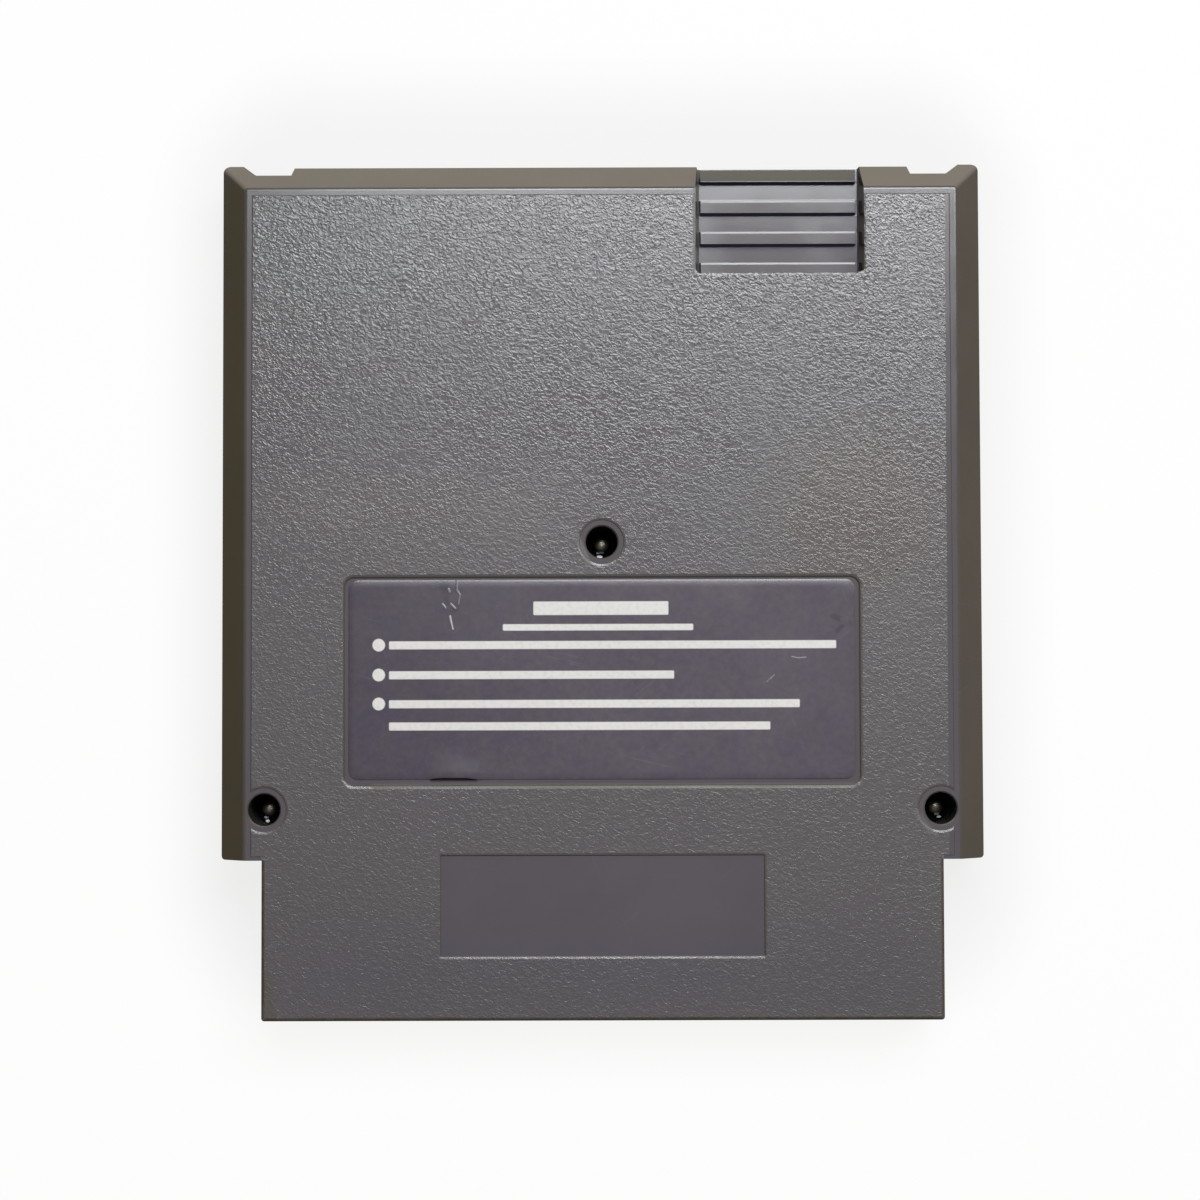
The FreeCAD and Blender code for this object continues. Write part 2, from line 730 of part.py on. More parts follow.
def front_hollow():
    """Space inside the front shell, less the posts and ribs that stand in it."""
    inner_slope = f"(front_slope - face_wall * {SLOPE_OFFSET})"
    inner_side = f"{SIDE} - side_wall"
    inner_run = (f"{SHOULDER} + side_wall", f"{TOP} - side_wall")
    knee = f"face_wall + {inner_slope}"
    above = f"{PARTING} + {SPILL}"
    room = union("front_room", [
        frustum(
            "front_room_slopes",
            "face_wall", both_sides(f"{inner_side} - {inner_slope}"),
            (inner_run[0], f"{inner_run[1]} - {inner_slope}"),
            knee, both_sides(inner_side), inner_run,
        ),
        box("front_room_band", both_sides(inner_side), inner_run, (knee, above)),
        box(
            "front_room_neck",
            both_sides(f"{NECK_SIDE} - side_wall"),
            (f"{MOUTH} - {SPILL}", f"{inner_run[0]} + {SPILL}"),
            ("face_wall", above),
        ),
    ])
    standing = [
        cylinder(f"front_post_{name}", TUBE_RADIUS, (x, y, "0"), TUBE_FOOT)
        for name, x, y in SCREW_PLACES
    ]
    standing.append(bulkhead("front_bulkhead", "0", BOARD_FLOOR))
    standing += board_ribs("front_rib", "0", BOARD_FLOOR)
    return cut("front_hollow", room, standing)


def front_label_block(name, margin):
    """Reach of the front label: up the front face, over the top edge and a little way down the end."""
    x = around("front_label_centre", f"front_label_width + 2 * ({margin})")
    y = (f"{SHOULDER} + front_label_rise - ({margin})", f"{TOP} + {SPILL}")
    return box(name, x, y, (f"-{SPILL}", f"front_label_fold + ({margin})"))


def snap_tabs():
    """Tabs of the front shell that spring behind the top wall of the rear shell."""
    inner_wall = f"{TOP} - side_wall"
    outer = f"{inner_wall} - tab_clearance"
    inner = f"{outer} - tab_thickness"
    root = f"{PARTING} - tab_root"
    pieces = []
    for side, centre in SNAP_PLACES:
        x = around(centre, "tab_width")
        root_y = (inner, f"{TOP} - side_wall / 2")
        barb_y = (inner, f"{TOP} - notch_depth - tab_clearance")
        pieces += [
            box(f"tab_root_{side}", x, root_y, (root, f"{PARTING} - tab_clearance")),
            box(f"tab_arm_{side}", x, (inner, outer), (root, TAB_TOP)),
            box(f"tab_barb_{side}", x, barb_y, (f"{TAB_TOP} - barb_height", TAB_TOP)),
        ]
    return pieces


def front_shell():
    """Front half of the case with its posts, board ribs, grip channel and snap tabs."""
    neck = box("front_neck", both_sides(NECK_SIDE), (MOUTH, f"{SHOULDER} + {SPILL}"), ("0", PARTING))
    ear_foot = "front_slope + ear_rise"
    pads = ears("front", (ear_foot, PARTING), ("front_slope", ear_foot), TOP, EAR)
    outer = union("front_outer", [front_form("front_outside", "0"), neck] + pads)
    walls = cut("front_walls", outer, [front_hollow()])
    channel_x = around("grip_centre", "grip_width")
    channel_run = (SHOULDER, f"{TOP} + {SPILL}")
    tools = [
        cut(
            "front_label_bed",
            front_label_block("front_label_reach", "label_margin"),
            [front_form("front_label_back", "label_recess")],
        ),
        box("grip_channel", channel_x, channel_run, (f"-{SPILL}", "channel_depth")),
    ]
    for name, x, y in SCREW_PLACES:
        bottom = f"{TUBE_FOOT} - pilot_depth"
        radius = "shank_diameter / 2 + shank_clearance"
        tools.append(cylinder(f"pilot_{name}", radius, (x, y, bottom), f"pilot_depth + {SPILL}"))
    reliefs = (f"-{SPILL}", f"{PARTING} + {SPILL}")
    for side, centre in SNAP_PLACES:
        tools.append(snap_notch(f"relief_{side}", side, centre, "notch_relief", reliefs))
    tools += plan_rounds("front", (f"-{SPILL}", f"{PARTING} + {SPILL}"))
    tools += neck_edge_rounds("front", "0", 1)
    bare = cut("front_bare", walls, tools)
    rib_z = ("channel_depth - channel_rib_height", "channel_depth")
    rib_length = f"{TOP} - ({SHOULDER}) - front_slope"
    levels = tuple((height, channel_x, upright) for height in rib_z)
    ribs = grip_rows("channel_rib", rib_length, levels)
    kept = common("channel_ribs", union("channel_rib_rows", ribs), front_form("channel_limit", "0"))
    return node(union("front_shell_solid", [bare, kept] + snap_tabs()), "front_shell")


def case_screws():
    """Three self-tapping screws with lobed dome heads."""
    screws = []
    for name, x, y in SCREW_PLACES:
        drive_low = f"{SEAT} + flange_height"
        drive_high = f"{drive_low} + drive_height"
        length = "(seat_web + pilot_depth - tip_clearance - tip_length)"
        drive = cylinder(f"drive_{name}", "drive_diameter / 2", (x, y, drive_low), "drive_height")
        crown = size(drive_high) - Part.Precision.confusion()
        dome = rounded_edges(f"dome_{name}", drive, "drive_round", lambda middle: middle.z > crown)
        scallops = []
        for lobe in range(int(size("drive_lobes"))):
            angle = f"{lobe} * 360 / drive_lobes"
            reach_x = f"({x}) + drive_diameter / 2 * cos({angle})"
            reach_y = f"({y}) + drive_diameter / 2 * sin({angle})"
            base = (reach_x, reach_y, drive_low)
            radius = "lobe_cut_diameter / 2"
            scallops.append(cylinder(f"scallop_{name}_{lobe + 1}", radius, base, "2 * drive_height"))
        tip_base = (x, y, f"{SEAT} - {length} - tip_length")
        screws.append(union(f"screw_{name}", [
            cut(f"lobed_{name}", dome, scallops),
            cylinder(f"flange_{name}", "flange_diameter / 2", (x, y, SEAT), "flange_height"),
            cylinder(f"shank_{name}", "shank_diameter / 2", (x, y, f"{SEAT} - {length}"), length),
            cone(f"tip_{name}", tip_base, "tip_diameter / 2", "shank_diameter / 2", "tip_length"),
        ]))
    return node(group("case_screws_group", screws), "case_screws")


def labels():
    """Paper label in the rear bed, and the front label folded over the top edge."""
    low = f"{SHOULDER} + label_rise + label_margin + label_lift"
    bed = f"{REAR} - label_recess"
    rear = rounded_block(
        "rear_label_sheet",
        both_sides("label_width / 2"),
        (low, f"{low} + label_length"),
        (bed, f"{bed} + label_thickness"),
        "label_corner",
    )
    face = front_form("front_label_face", "label_recess - label_thickness")
    reach = common("front_label_block", front_label_block("front_label_area", "0"), face)
    front = cut("front_label_sheet", reach, [front_form("front_label_backing", "label_recess")])
    return [node(rear, "rear_label"), node(front, "front_label")]


def dual_row_places(x, low, pins, spacing):
    """Side and place of each pin of a chip in two rows."""
    per_row = int(size(pins)) // 2
    first = size(f"{low} + chip_end")
    for side in (-1, 1):
        for place in range(per_row):
            yield side, size(f"({x}) + {side} * ({spacing}) / 2"), first + place * size("pin_pitch")


def chip_body(name, x, low, length, width):
    """Moulded chip package, drafted from its parting line, with a round notch at its upper end."""
    base = f"{BOARD_TOP} + chip_standoff"
    middle = f"{base} + chip_height / 2"
    top = f"{base} + chip_height"
    wide_x = around(x, width)
    wide_y = (low, f"{low} + {length}")
    slim_x = around(x, f"{width} - 2 * chip_draft")
    slim_y = (f"{low} + chip_draft", f"{low} + {length} - chip_draft")
    halves = union(f"{name}_halves", [
        frustum(f"{name}_lower", base, slim_x, slim_y, middle, wide_x, wide_y),
        frustum(f"{name}_upper", middle, wide_x, wide_y, top, slim_x, slim_y),
    ])
    notch = cylinder(f"{name}_notch", "chip_notch / 2", (x, wide_y[1], middle), "chip_height")
    return node(cut(f"{name}_package", halves, [notch]), name)


def chip_pins(name, x, low, pins, spacing, width):
    """Bent pins of a chip: out of the side, down to the board and through it."""
    board_top = size(BOARD_TOP)
    lead_low = size(f"{BOARD_TOP} + chip_standoff + chip_height / 2 - pin_thickness / 2")
    thick = size("pin_thickness")
    wide = size("pin_width")
    tail = size("tail_width")
    through = size("board_thickness + tail_length")
    solids = []
    for side, pin_x, pin_y in dual_row_places(x, low, pins, spacing):
        body_x = size(f"({x}) + {side} * ({width}) / 2")
        outer_x = pin_x + side * thick / 2
        start = FreeCAD.Vector(min(body_x, outer_x), pin_y - wide / 2, lead_low)
        lead = Part.makeBox(abs(outer_x - body_x), wide, thick, start)
        upright_base = FreeCAD.Vector(pin_x - thick / 2, pin_y - wide / 2, board_top)
        upright = Part.makeBox(thick, wide, lead_low + thick - board_top, upright_base)
        tail_base = FreeCAD.Vector(pin_x - thick / 2, pin_y - tail / 2, board_top - through)
        solids.append(lead.fuse([upright, Part.makeBox(thick, tail, through, tail_base)]).removeSplitter())
    feature = doc.addObject("Part::Feature", f"{name}_rows")
    feature.Shape = Part.makeCompound(solids)
    return node(feature, name)


def capacitor_lead_places():
    """Places where the leads of the wet capacitor pass through the board."""
    x = size(f"{CAPACITOR_X} - lead_run - lead_bend")
    for side in (-1, 1):
        yield x, size(f"{CAPACITOR_Y} + {side} * lead_spacing / 2")


def bypass_lead_places():
    """Places where the leads of the bypass capacitors pass through the board."""
    for x in BYPASS_PLACES:
        for side in (-1, 1):
            yield size(x), size(f"{BYPASS_Y} + {side} * bypass_spacing / 2")


CHIPS = (
    ("program_rom", PROGRAM_X, ROM_LENGTH, "rom_width", "rom_pins", "rom_row"),
    ("graphics_rom", GRAPHICS_X, ROM_LENGTH, "rom_width", "rom_pins", "rom_row"),
    ("lockout_chip", LOCKOUT_X, LOCKOUT_LENGTH, "lockout_width", "lockout_pins", "lockout_row"),
)


def chips():
    """Three chips, each as a package and its rows of pins."""
    pieces = []
    for name, x, length, width, pins, spacing in CHIPS:
        pieces.append(chip_body(name, x, CHIP_LOW, length, width))
        pieces.append(chip_pins(f"{name}_pins", x, CHIP_LOW, pins, spacing, width))
    return pieces


def circuit_board():
    """Board between the ribs, slotted round the centre tube and drilled for every pin and lead."""
    blank = box("board_blank", both_sides(BOARD_SIDE), (BOARD_LOW, BOARD_HIGH), (BOARD_FLOOR, BOARD_TOP))
    slot_radius = f"{TUBE_RADIUS} + board_clearance"
    below = f"{BOARD_FLOOR} - {SPILL}"
    above = f"{BOARD_TOP} + {SPILL}"
    slot_end = f"{CENTRE_SCREW_Y} + case_height / 2"
    slot = [
        cylinder("board_slot_end", slot_radius, ("0", CENTRE_SCREW_Y, below), f"{above} - ({below})"),
        box("board_slot", both_sides(slot_radius), (CENTRE_SCREW_Y, slot_end), (below, above)),
    ]
    places = list(capacitor_lead_places()) + list(bypass_lead_places())
    for name, x, length, width, pins, spacing in CHIPS:
        places += [(pin_x, pin_y) for side, pin_x, pin_y in dual_row_places(x, CHIP_LOW, pins, spacing)]
    depth = size(f"{above} - ({below})")
    drills = doc.addObject("Part::Feature", "board_drills")
    drills.Shape = Part.makeCompound([
        Part.makeCylinder(size("pin_hole") / 2, depth, FreeCAD.Vector(x, y, size(below))) for x, y in places
    ])
    slotted = cut("board_slotted", blank, slot)
    return node(cut("board_drilled", slotted, [drills]), "circuit_board")


def contact_row(name, low):
    """Row of plated contacts along the mouth edge of one side of the board."""
    usable = size(f"2 * ({BOARD_SIDE} - contact_margin) - contact_width")
    count = int(usable // size("contact_pitch")) + 1
    contacts = []
    for place in range(count):
        centre = f"({place} - {count - 1} / 2) * contact_pitch"
        start = f"{BOARD_LOW} + contact_setback"
        run = (start, f"{start} + contact_length")
        x = around(centre, "contact_width")
        contacts.append(box(f"{name}_{place + 1}", x, run, (low, f"{low} + contact_thickness")))
    return node(group(f"{name}_row", contacts), name)


def wet_capacitor():
    """Small lying capacitor: metal can, plastic sleeve, rubber seal and two bent leads."""
    radius = "can_diameter / 2"
    seal_end = (CAPACITOR_X, CAPACITOR_Y, CAPACITOR_Z)
    can_start = (f"{CAPACITOR_X} + seal_length", CAPACITOR_Y, CAPACITOR_Z)
    can = cylinder("can_body", radius, can_start, "can_length", "x")
    seal = cylinder("seal_body", radius, seal_end, "seal_length", "x")
    whole = "seal_length + can_length"
    tube = cylinder("sleeve_tube", f"{radius} + sleeve_wall", seal_end, f"{whole} + sleeve_wall", "x")
    bore = cylinder("sleeve_bore", radius, seal_end, whole, "x")
    eye_start = (f"{CAPACITOR_X} + {whole}", CAPACITOR_Y, CAPACITOR_Z)
    eye = cylinder("sleeve_eye", f"{radius} - sleeve_lip", eye_start, "2 * sleeve_wall", "x")
    sleeve = cut("sleeve_body", tube, [bore, eye])
    bend = size("lead_bend")
    height = size(CAPACITOR_Z)
    foot = size(f"{BOARD_FLOOR} - tail_length")
    leads = []
    for lead_x, lead_y in capacitor_lead_places():
        start = FreeCAD.Vector(size(CAPACITOR_X), lead_y, height)
        turn = FreeCAD.Vector(lead_x + bend, lead_y, height)
        low = FreeCAD.Vector(lead_x, lead_y, height - bend)
        share = bend * (1 - math.sqrt(0.5))
        middle = FreeCAD.Vector(lead_x + share, lead_y, height - share)
        path = Part.Wire([
            Part.LineSegment(start, turn).toShape(),
            Part.Arc(turn, middle, low).toShape(),
            Part.LineSegment(low, FreeCAD.Vector(lead_x, lead_y, foot)).toShape(),
        ])
        ring = Part.Wire([Part.Circle(start, FreeCAD.Vector(1, 0, 0), size("lead_diameter") / 2).toShape()])
        leads.append(path.makePipeShell([ring], True, False))
    wires = doc.addObject("Part::Feature", "capacitor_wires")
    wires.Shape = Part.makeCompound(leads)
    return [
        node(can, "bulk_capacitor_can"),
        node(sleeve, "bulk_capacitor_sleeve"),
        node(seal, "bulk_capacitor_seal"),
        node(wires, "bulk_capacitor_leads"),
    ]


def bypass_capacitors():
    """Two small bypass capacitors, each a dipped block on two straight leads."""
    blocks = []
    wires = []
    base = f"{BOARD_TOP} + bypass_lift"
    for place, x in enumerate(BYPASS_PLACES, start=1):
        block_x = around(x, "bypass_width")
        block_y = around(BYPASS_Y, "bypass_length")
        blocks.append(box(f"bypass_block_{place}", block_x, block_y, (base, f"{base} + bypass_height")))
        for side in (-1, 1):
            foot = f"{BOARD_FLOOR} - tail_length"
            start = (x, f"{BYPASS_Y} + {side} * bypass_spacing / 2", foot)
            name = f"bypass_wire_{len(wires) + 1}"
            wires.append(cylinder(name, "lead_diameter / 2", start, f"{base} - ({foot})"))
    return [
        node(group("bypass_blocks", blocks), "bypass_capacitors"),
        node(group("bypass_wires", wires), "bypass_capacitor_leads"),
    ]


pieces = [rear_shell(), front_shell(), case_screws()]
pieces += labels()
pieces += [
    circuit_board(),
    contact_row("contacts_rear", BOARD_TOP),
    contact_row("contacts_front", f"{BOARD_FLOOR} - contact_thickness"),
]
pieces += chips()
pieces += wet_capacitor()
pieces += bypass_capacitors()
doc.recompute()

for thing in doc.Objects:
    if "Invalid" in thing.State or "Error" in thing.State:
        raise RuntimeError(f"{thing.Name} failed: {thing.State}")
for piece in pieces:
    if piece.Shape.isNull() or not piece.Shape.isValid():
        raise RuntimeError(f"{piece.Label} has no valid shape")

os.makedirs("parts", exist_ok=True)
for piece in pieces:
    piece.Shape.exportStep(f"parts/{piece.Label}.step")
    print(piece.Label, len(piece.Shape.Solids), "solids", round(piece.Shape.Volume, 2))
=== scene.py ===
import math

import bmesh
import bpy
from bpy.props import FloatProperty, FloatVectorProperty, PointerProperty
from mathutils import Matrix, Vector


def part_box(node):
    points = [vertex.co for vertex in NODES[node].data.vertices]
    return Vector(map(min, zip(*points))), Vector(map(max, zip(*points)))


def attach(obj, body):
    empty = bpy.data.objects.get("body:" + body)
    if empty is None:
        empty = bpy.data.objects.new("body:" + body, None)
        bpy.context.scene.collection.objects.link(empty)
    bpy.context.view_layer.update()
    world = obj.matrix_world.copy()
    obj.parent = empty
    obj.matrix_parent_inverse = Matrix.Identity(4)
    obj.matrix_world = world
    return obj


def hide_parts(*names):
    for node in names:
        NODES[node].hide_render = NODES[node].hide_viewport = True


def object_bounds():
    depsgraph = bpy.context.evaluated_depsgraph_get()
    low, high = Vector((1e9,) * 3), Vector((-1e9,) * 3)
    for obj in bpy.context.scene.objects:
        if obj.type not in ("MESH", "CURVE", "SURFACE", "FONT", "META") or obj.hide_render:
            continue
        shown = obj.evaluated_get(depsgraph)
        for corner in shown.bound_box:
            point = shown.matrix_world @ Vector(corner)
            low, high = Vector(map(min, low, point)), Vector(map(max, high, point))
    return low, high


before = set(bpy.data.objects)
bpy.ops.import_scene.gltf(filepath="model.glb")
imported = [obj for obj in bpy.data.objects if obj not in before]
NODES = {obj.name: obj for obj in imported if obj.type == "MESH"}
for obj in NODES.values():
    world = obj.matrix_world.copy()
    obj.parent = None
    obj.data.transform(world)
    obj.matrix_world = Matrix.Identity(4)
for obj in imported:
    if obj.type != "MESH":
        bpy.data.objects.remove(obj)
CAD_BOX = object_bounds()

bl_info = {
    "name": "Game Cartridge Finish",
    "version": (1, 0, 0),
    "blender": (4, 5, 0),
    "location": "View3D > Sidebar > Cartridge",
    "description": "Finishes, rear label and stage of a moulded game cartridge",
    "category": "Object",
}

MM = 0.001
_, SHELL_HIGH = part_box("rear_shell")
LABEL_LOW, LABEL_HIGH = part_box("rear_label")
CONTACT_LOW, CONTACT_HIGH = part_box("contacts_rear")
FRONT_LABEL_LOW, FRONT_LABEL_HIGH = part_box("front_label")
SCREW_LOW, SCREW_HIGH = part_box("case_screws")
REAR_LEVEL = SHELL_HIGH.z
FLANGE_RADIUS = 2.3 * MM
SCREW_PLACES = (
    ((SCREW_LOW.x + SCREW_HIGH.x) / 2, SCREW_HIGH.y - FLANGE_RADIUS, 0.0),
    (SCREW_LOW.x + FLANGE_RADIUS, SCREW_LOW.y + FLANGE_RADIUS, 0.0),
    (SCREW_HIGH.x - FLANGE_RADIUS, SCREW_LOW.y + FLANGE_RADIUS, 0.0),
)
WELL_RADIUS = 2.75 * MM
# Where the lower edge of the rear label has come loose and drawn back, in millimetres.
LABEL_GAP = (-27.0, -19.8)


# Settings that a user would change.


def length(name, description, millimetres):
    """Length property given in millimetres."""
    return FloatProperty(
        name=name, description=description, default=millimetres * MM, min=0.0,
        unit="LENGTH", precision=5,
    )


def share(name, description, default):
    """Plain factor."""
    return FloatProperty(
        name=name, description=description, default=default, min=0.0, max=1.0, subtype="FACTOR"
    )


def colour(name, description, default):
    """Linear colour."""
    return FloatVectorProperty(
        name=name, description=description, default=default, size=3, min=0.0, max=1.0, subtype="COLOR"
    )


def angle(name, description, degrees):
    """Angle property given in degrees."""
    return FloatProperty(
        name=name, description=description, default=math.radians(degrees), subtype="ANGLE"
    )


class CaseFinish(bpy.types.PropertyGroup):
    """Moulded plastic of the two shells."""

    plastic: colour("Plastic", "Colour of the moulded case", (0.074, 0.065, 0.056))
    # Soil and shade: brown dirt with painted shade along the neck's edges.
    soil_and_shade: colour("Soil", "Brown dirt that is rubbed into edges", (0.050, 0.036, 0.020))
    # Left reflection: a painted warm reflection, a yellow tint on the left slope.
    left_reflection: colour("Grime", "Yellow film on the left edge", (0.076, 0.062, 0.031))
    grain_size: length("Grain size", "Width of one pebble of the moulded grain", 0.51)
    grain_height: length("Grain height", "Height of the moulded grain near the top edge", 0.030)
    worn_height: length("Worn grain height", "Height of the grain that is worn near the mouth", 0.018)
    satin_height: length("Satin height", "Height of the fine texture on the smooth faces", 0.0012)
    grain_roughness: share("Grain roughness", "Roughness of the grain near the top edge", 0.16)
    worn_roughness: share("Worn roughness", "Roughness of the grain near the mouth", 0.29)
    smooth_roughness: share("Smooth roughness", "Roughness of borders, beds and slopes", 0.14)


class ScrewFinish(bpy.types.PropertyGroup):
    """Steel of the case screws."""

    steel: colour("Steel", "Colour of the tarnished crowns", (0.285, 0.262, 0.178))
    # Soot and shade: dark dirt with painted shade round the crowns.
    soot_and_shade: colour("Soot", "Dark dirt round the crowns", (0.006, 0.005, 0.005))
    # Glint colour: painted glints on the screws.
    glint_colour: colour("Bare", "Steel where the dirt is rubbed off", (0.85, 0.85, 0.84))
    # Crown: the top of a screw that the dirt and painted shade leave out.
    crown: length("Crown", "Radius of the clean top of a screw", 0.98)
    roughness: share("Roughness", "Roughness of the crowns", 0.40)


class LabelFinish(bpy.types.PropertyGroup):
    """Rear and front labels."""

    ink: colour("Ink", "Dark ground of the rear label", (0.068, 0.055, 0.056))
    cool_ink: colour("Cool ink", "Faded patches of the ground", (0.061, 0.051, 0.057))
    print_cream: colour("Print", "Pale print of the rear label", (0.62, 0.595, 0.54))
    paper: colour("Paper", "Cut edge of the paper", (0.45, 0.43, 0.40))
    front_ground: colour("Front ground", "Ground of the front label", (0.50, 0.48, 0.45))
    front_band: colour("Front band", "Plain band of the front label", (0.070, 0.090, 0.140))
    thickness: length("Thickness", "Thickness of the rear label", 0.11)
    corner: length("Corner", "Corner radius of the rear label", 1.5)
    wave: length("Wave", "Height of the slow waves in the rear label", 0.03)
    lift: length("Lift", "Height that the loose lower edge stands off its bed", 0.22)
    droop: length("Droop", "Height that the rim of the rear label falls", 0.05)
    rim: length("Rim", "Width of the falling rim of the rear label", 0.3)
    drawn: length("Drawn back", "How far the loose lower edge has drawn back", 0.27)
    roughness: share("Roughness", "Roughness of the printed face", 0.24)


class BoardFinish(bpy.types.PropertyGroup):
    """Circuit board and what is soldered to it."""

    mask: colour("Solder mask", "Colour of the board", (0.018, 0.085, 0.035))
    trace: colour("Traces", "Colour of copper under the mask", (0.030, 0.135, 0.052))
    gold: colour("Gold", "Plating of the contacts", (0.83, 0.60, 0.24))
    tin: colour("Tin", "Solder and tinned leads", (0.62, 0.61, 0.58))
    moulding: colour("Moulding", "Epoxy of the chips", (0.018, 0.018, 0.019))
    aluminium: colour("Aluminium", "Can of the wet capacitor", (0.70, 0.70, 0.71))
    sleeve: colour("Sleeve", "Film round the can", (0.020, 0.030, 0.085))
    rubber: colour("Rubber", "Seal of the can", (0.020, 0.019, 0.018))
    resin: colour("Resin", "Dipped coat of the bypass capacitors", (0.42, 0.19, 0.045))


class StageSettings(bpy.types.PropertyGroup):
    """Floor, light and camera."""

    floor: colour("Floor", "Pale floor", (0.978, 0.978, 0.970))
    floor_glow: share("Floor glow", "Share of the floor's brightness that shadows leave alone", 0.94)
    panel_power: FloatProperty(
        name="Panel power", description="Power of the light panel", default=28.0, min=0.0, unit="POWER"
    )
    panel_height: length("Panel height", "Height of the light panel above the floor", 1200.0)
    panel_near: angle("Panel near edge", "Angle of the panel's near edge off the vertical", 14.1)
    panel_far: angle("Panel far edge", "Angle of the panel's far edge off the vertical", 36.0)
    panel_left: angle("Panel left edge", "Angle of the panel's left edge off the vertical", 9.0)
    panel_right: angle("Panel right edge", "Angle of the panel's right edge off the vertical", 37.0)
    lens: FloatProperty(
        name="Lens", description="Focal length for a sensor of 36 mm", default=81.09, unit="CAMERA"
    )


# Node trees.


class Nodes:
    """Short ways to place and join the nodes of one tree."""

    def __init__(self, tree):
        self.tree = tree

    def feed(self, socket, value):
        """Joins a socket to another one, or sets its own value."""
        if isinstance(value, bpy.types.NodeSocket):
            self.tree.links.new(value, socket)
        elif socket.type == "RGBA" and len(value) == 3:
            socket.default_value = (*value, 1.0)
        else:
            socket.default_value = value

    def add(self, kind, inputs=None, **settings):
        """New node with its settings, and its sockets set or joined."""
        node = self.tree.nodes.new(kind)
        for name, value in settings.items():
            setattr(node, name, value)
        for name, value in (inputs or {}).items():
            self.feed(node.inputs[name], value)
        return node

    def math(self, operation, *values, clamp=False):
        """Result of one calculation."""
        node = self.add(
            "ShaderNodeMath", dict(enumerate(values)), operation=operation, use_clamp=clamp
        )
        return node.outputs[0]

    def chain(self, operation, values):
        """Result of one calculation that takes in several values, one after another."""
        result = values[0]
        for value in values[1:]:
            result = self.math(operation, result, value)
        return result

    def product(self, *values):
        """Product of several values."""
        return self.chain("MULTIPLY", values)

    def total(self, *values):
        """Sum of several values."""
        return self.chain("ADD", values)

    def largest(self, values):
        """Largest of several values."""
        return self.chain("MAXIMUM", values)

    def vector(self, operation, *values, scale=None):
        """Result of one calculation with vectors."""
        node = self.add("ShaderNodeVectorMath", dict(enumerate(values)), operation=operation)
        if scale is not None:
            self.feed(node.inputs["Scale"], scale)
        return node.outputs["Value" if operation in ("LENGTH", "DOT_PRODUCT", "DISTANCE") else "Vector"]

    def ramp(self, value, low, high, start=0.0, end=1.0):
        """Smooth change from start to end while the value goes from low to high."""
        sockets = {"Value": value, "From Min": low, "From Max": high, "To Min": start, "To Max": end}
        node = self.add("ShaderNodeMapRange", sockets, interpolation_type="SMOOTHSTEP")
        return node.outputs["Result"]

    def mix(self, amount, low, high):
        """Colour between two others."""
        return self.add("ShaderNodeMix", {0: amount, 6: low, 7: high}, data_type="RGBA").outputs[2]

    def noise(self, place, scale, detail=2.0, roughness=0.5, distortion=0.0):
        """Value of a cloudy pattern."""
        sockets = {
            "Vector": place, "Scale": scale, "Detail": detail, "Roughness": roughness,
            "Distortion": distortion,
        }
        return self.add("ShaderNodeTexNoise", sockets).outputs[0]

    def mapping(self, place, unit, turn=0.0, start=(0, 0, 0)):
        """Place from a start point, along axes turned about Z, in units of a given size."""
        sockets = {"Vector": place, "Location": start, "Rotation": (0, 0, turn), "Scale": unit}
        return self.add("ShaderNodeMapping", sockets, vector_type="TEXTURE").outputs["Vector"]

    def axes(self, vector):
        """Parts of a vector along X, Y and Z."""
        return self.add("ShaderNodeSeparateXYZ", {0: vector}).outputs

    def group(self, tree, **inputs):
        """Shared node group with its inputs set, spaces written as underscores."""
        node = self.add("ShaderNodeGroup", node_tree=tree)
        for name, value in inputs.items():
            self.feed(node.inputs[name.replace("_", " ")], value)
        return node.outputs


def shared_group(name, inputs, outputs, build):
    """Node group of that name, built once."""
    if name in bpy.data.node_groups:
        return bpy.data.node_groups[name]
    tree = bpy.data.node_groups.new(name, "ShaderNodeTree")
    kinds = {"vector": "NodeSocketVector", "value": "NodeSocketFloat"}
    for label, kind in inputs.items():
        tree.interface.new_socket(label, in_out="INPUT", socket_type=kinds[kind])
    for label, kind in outputs.items():
        tree.interface.new_socket(label, in_out="OUTPUT", socket_type=kinds[kind])
    nodes = Nodes(tree)
    source = nodes.add("NodeGroupInput").outputs
    sink = nodes.add("NodeGroupOutput").inputs
    for label, value in build(nodes, source).items():
        nodes.feed(sink[label], value)
    return tree


def moulded_grain():
    """Pebbled grain of an etched mould, with short crooked ridges that lean a little."""

    def build(nodes, source):
        rate = nodes.math("DIVIDE", 1.0, source["Pebble"])
        place = nodes.vector("SCALE", source["Place"], scale=rate)
        leaning = nodes.mapping(place, (1.22, 0.92, 1.0), turn=math.radians(-24))
        ridges = nodes.noise(leaning, 1.0, detail=1.5, roughness=0.55, distortion=0.9)
        pits = nodes.noise(place, 0.47, detail=1.0)
        raised = nodes.ramp(ridges, 0.36, 0.66)
        height = nodes.product(raised, nodes.ramp(pits, 0.25, 0.7, 0.55, 1.0))
        return {"Height": height, "Ridge": nodes.ramp(ridges, 0.52, 0.70)}

    return shared_group(
        "Moulded grain", {"Place": "vector", "Pebble": "value"},
        {"Height": "value", "Ridge": "value"}, build,
    )


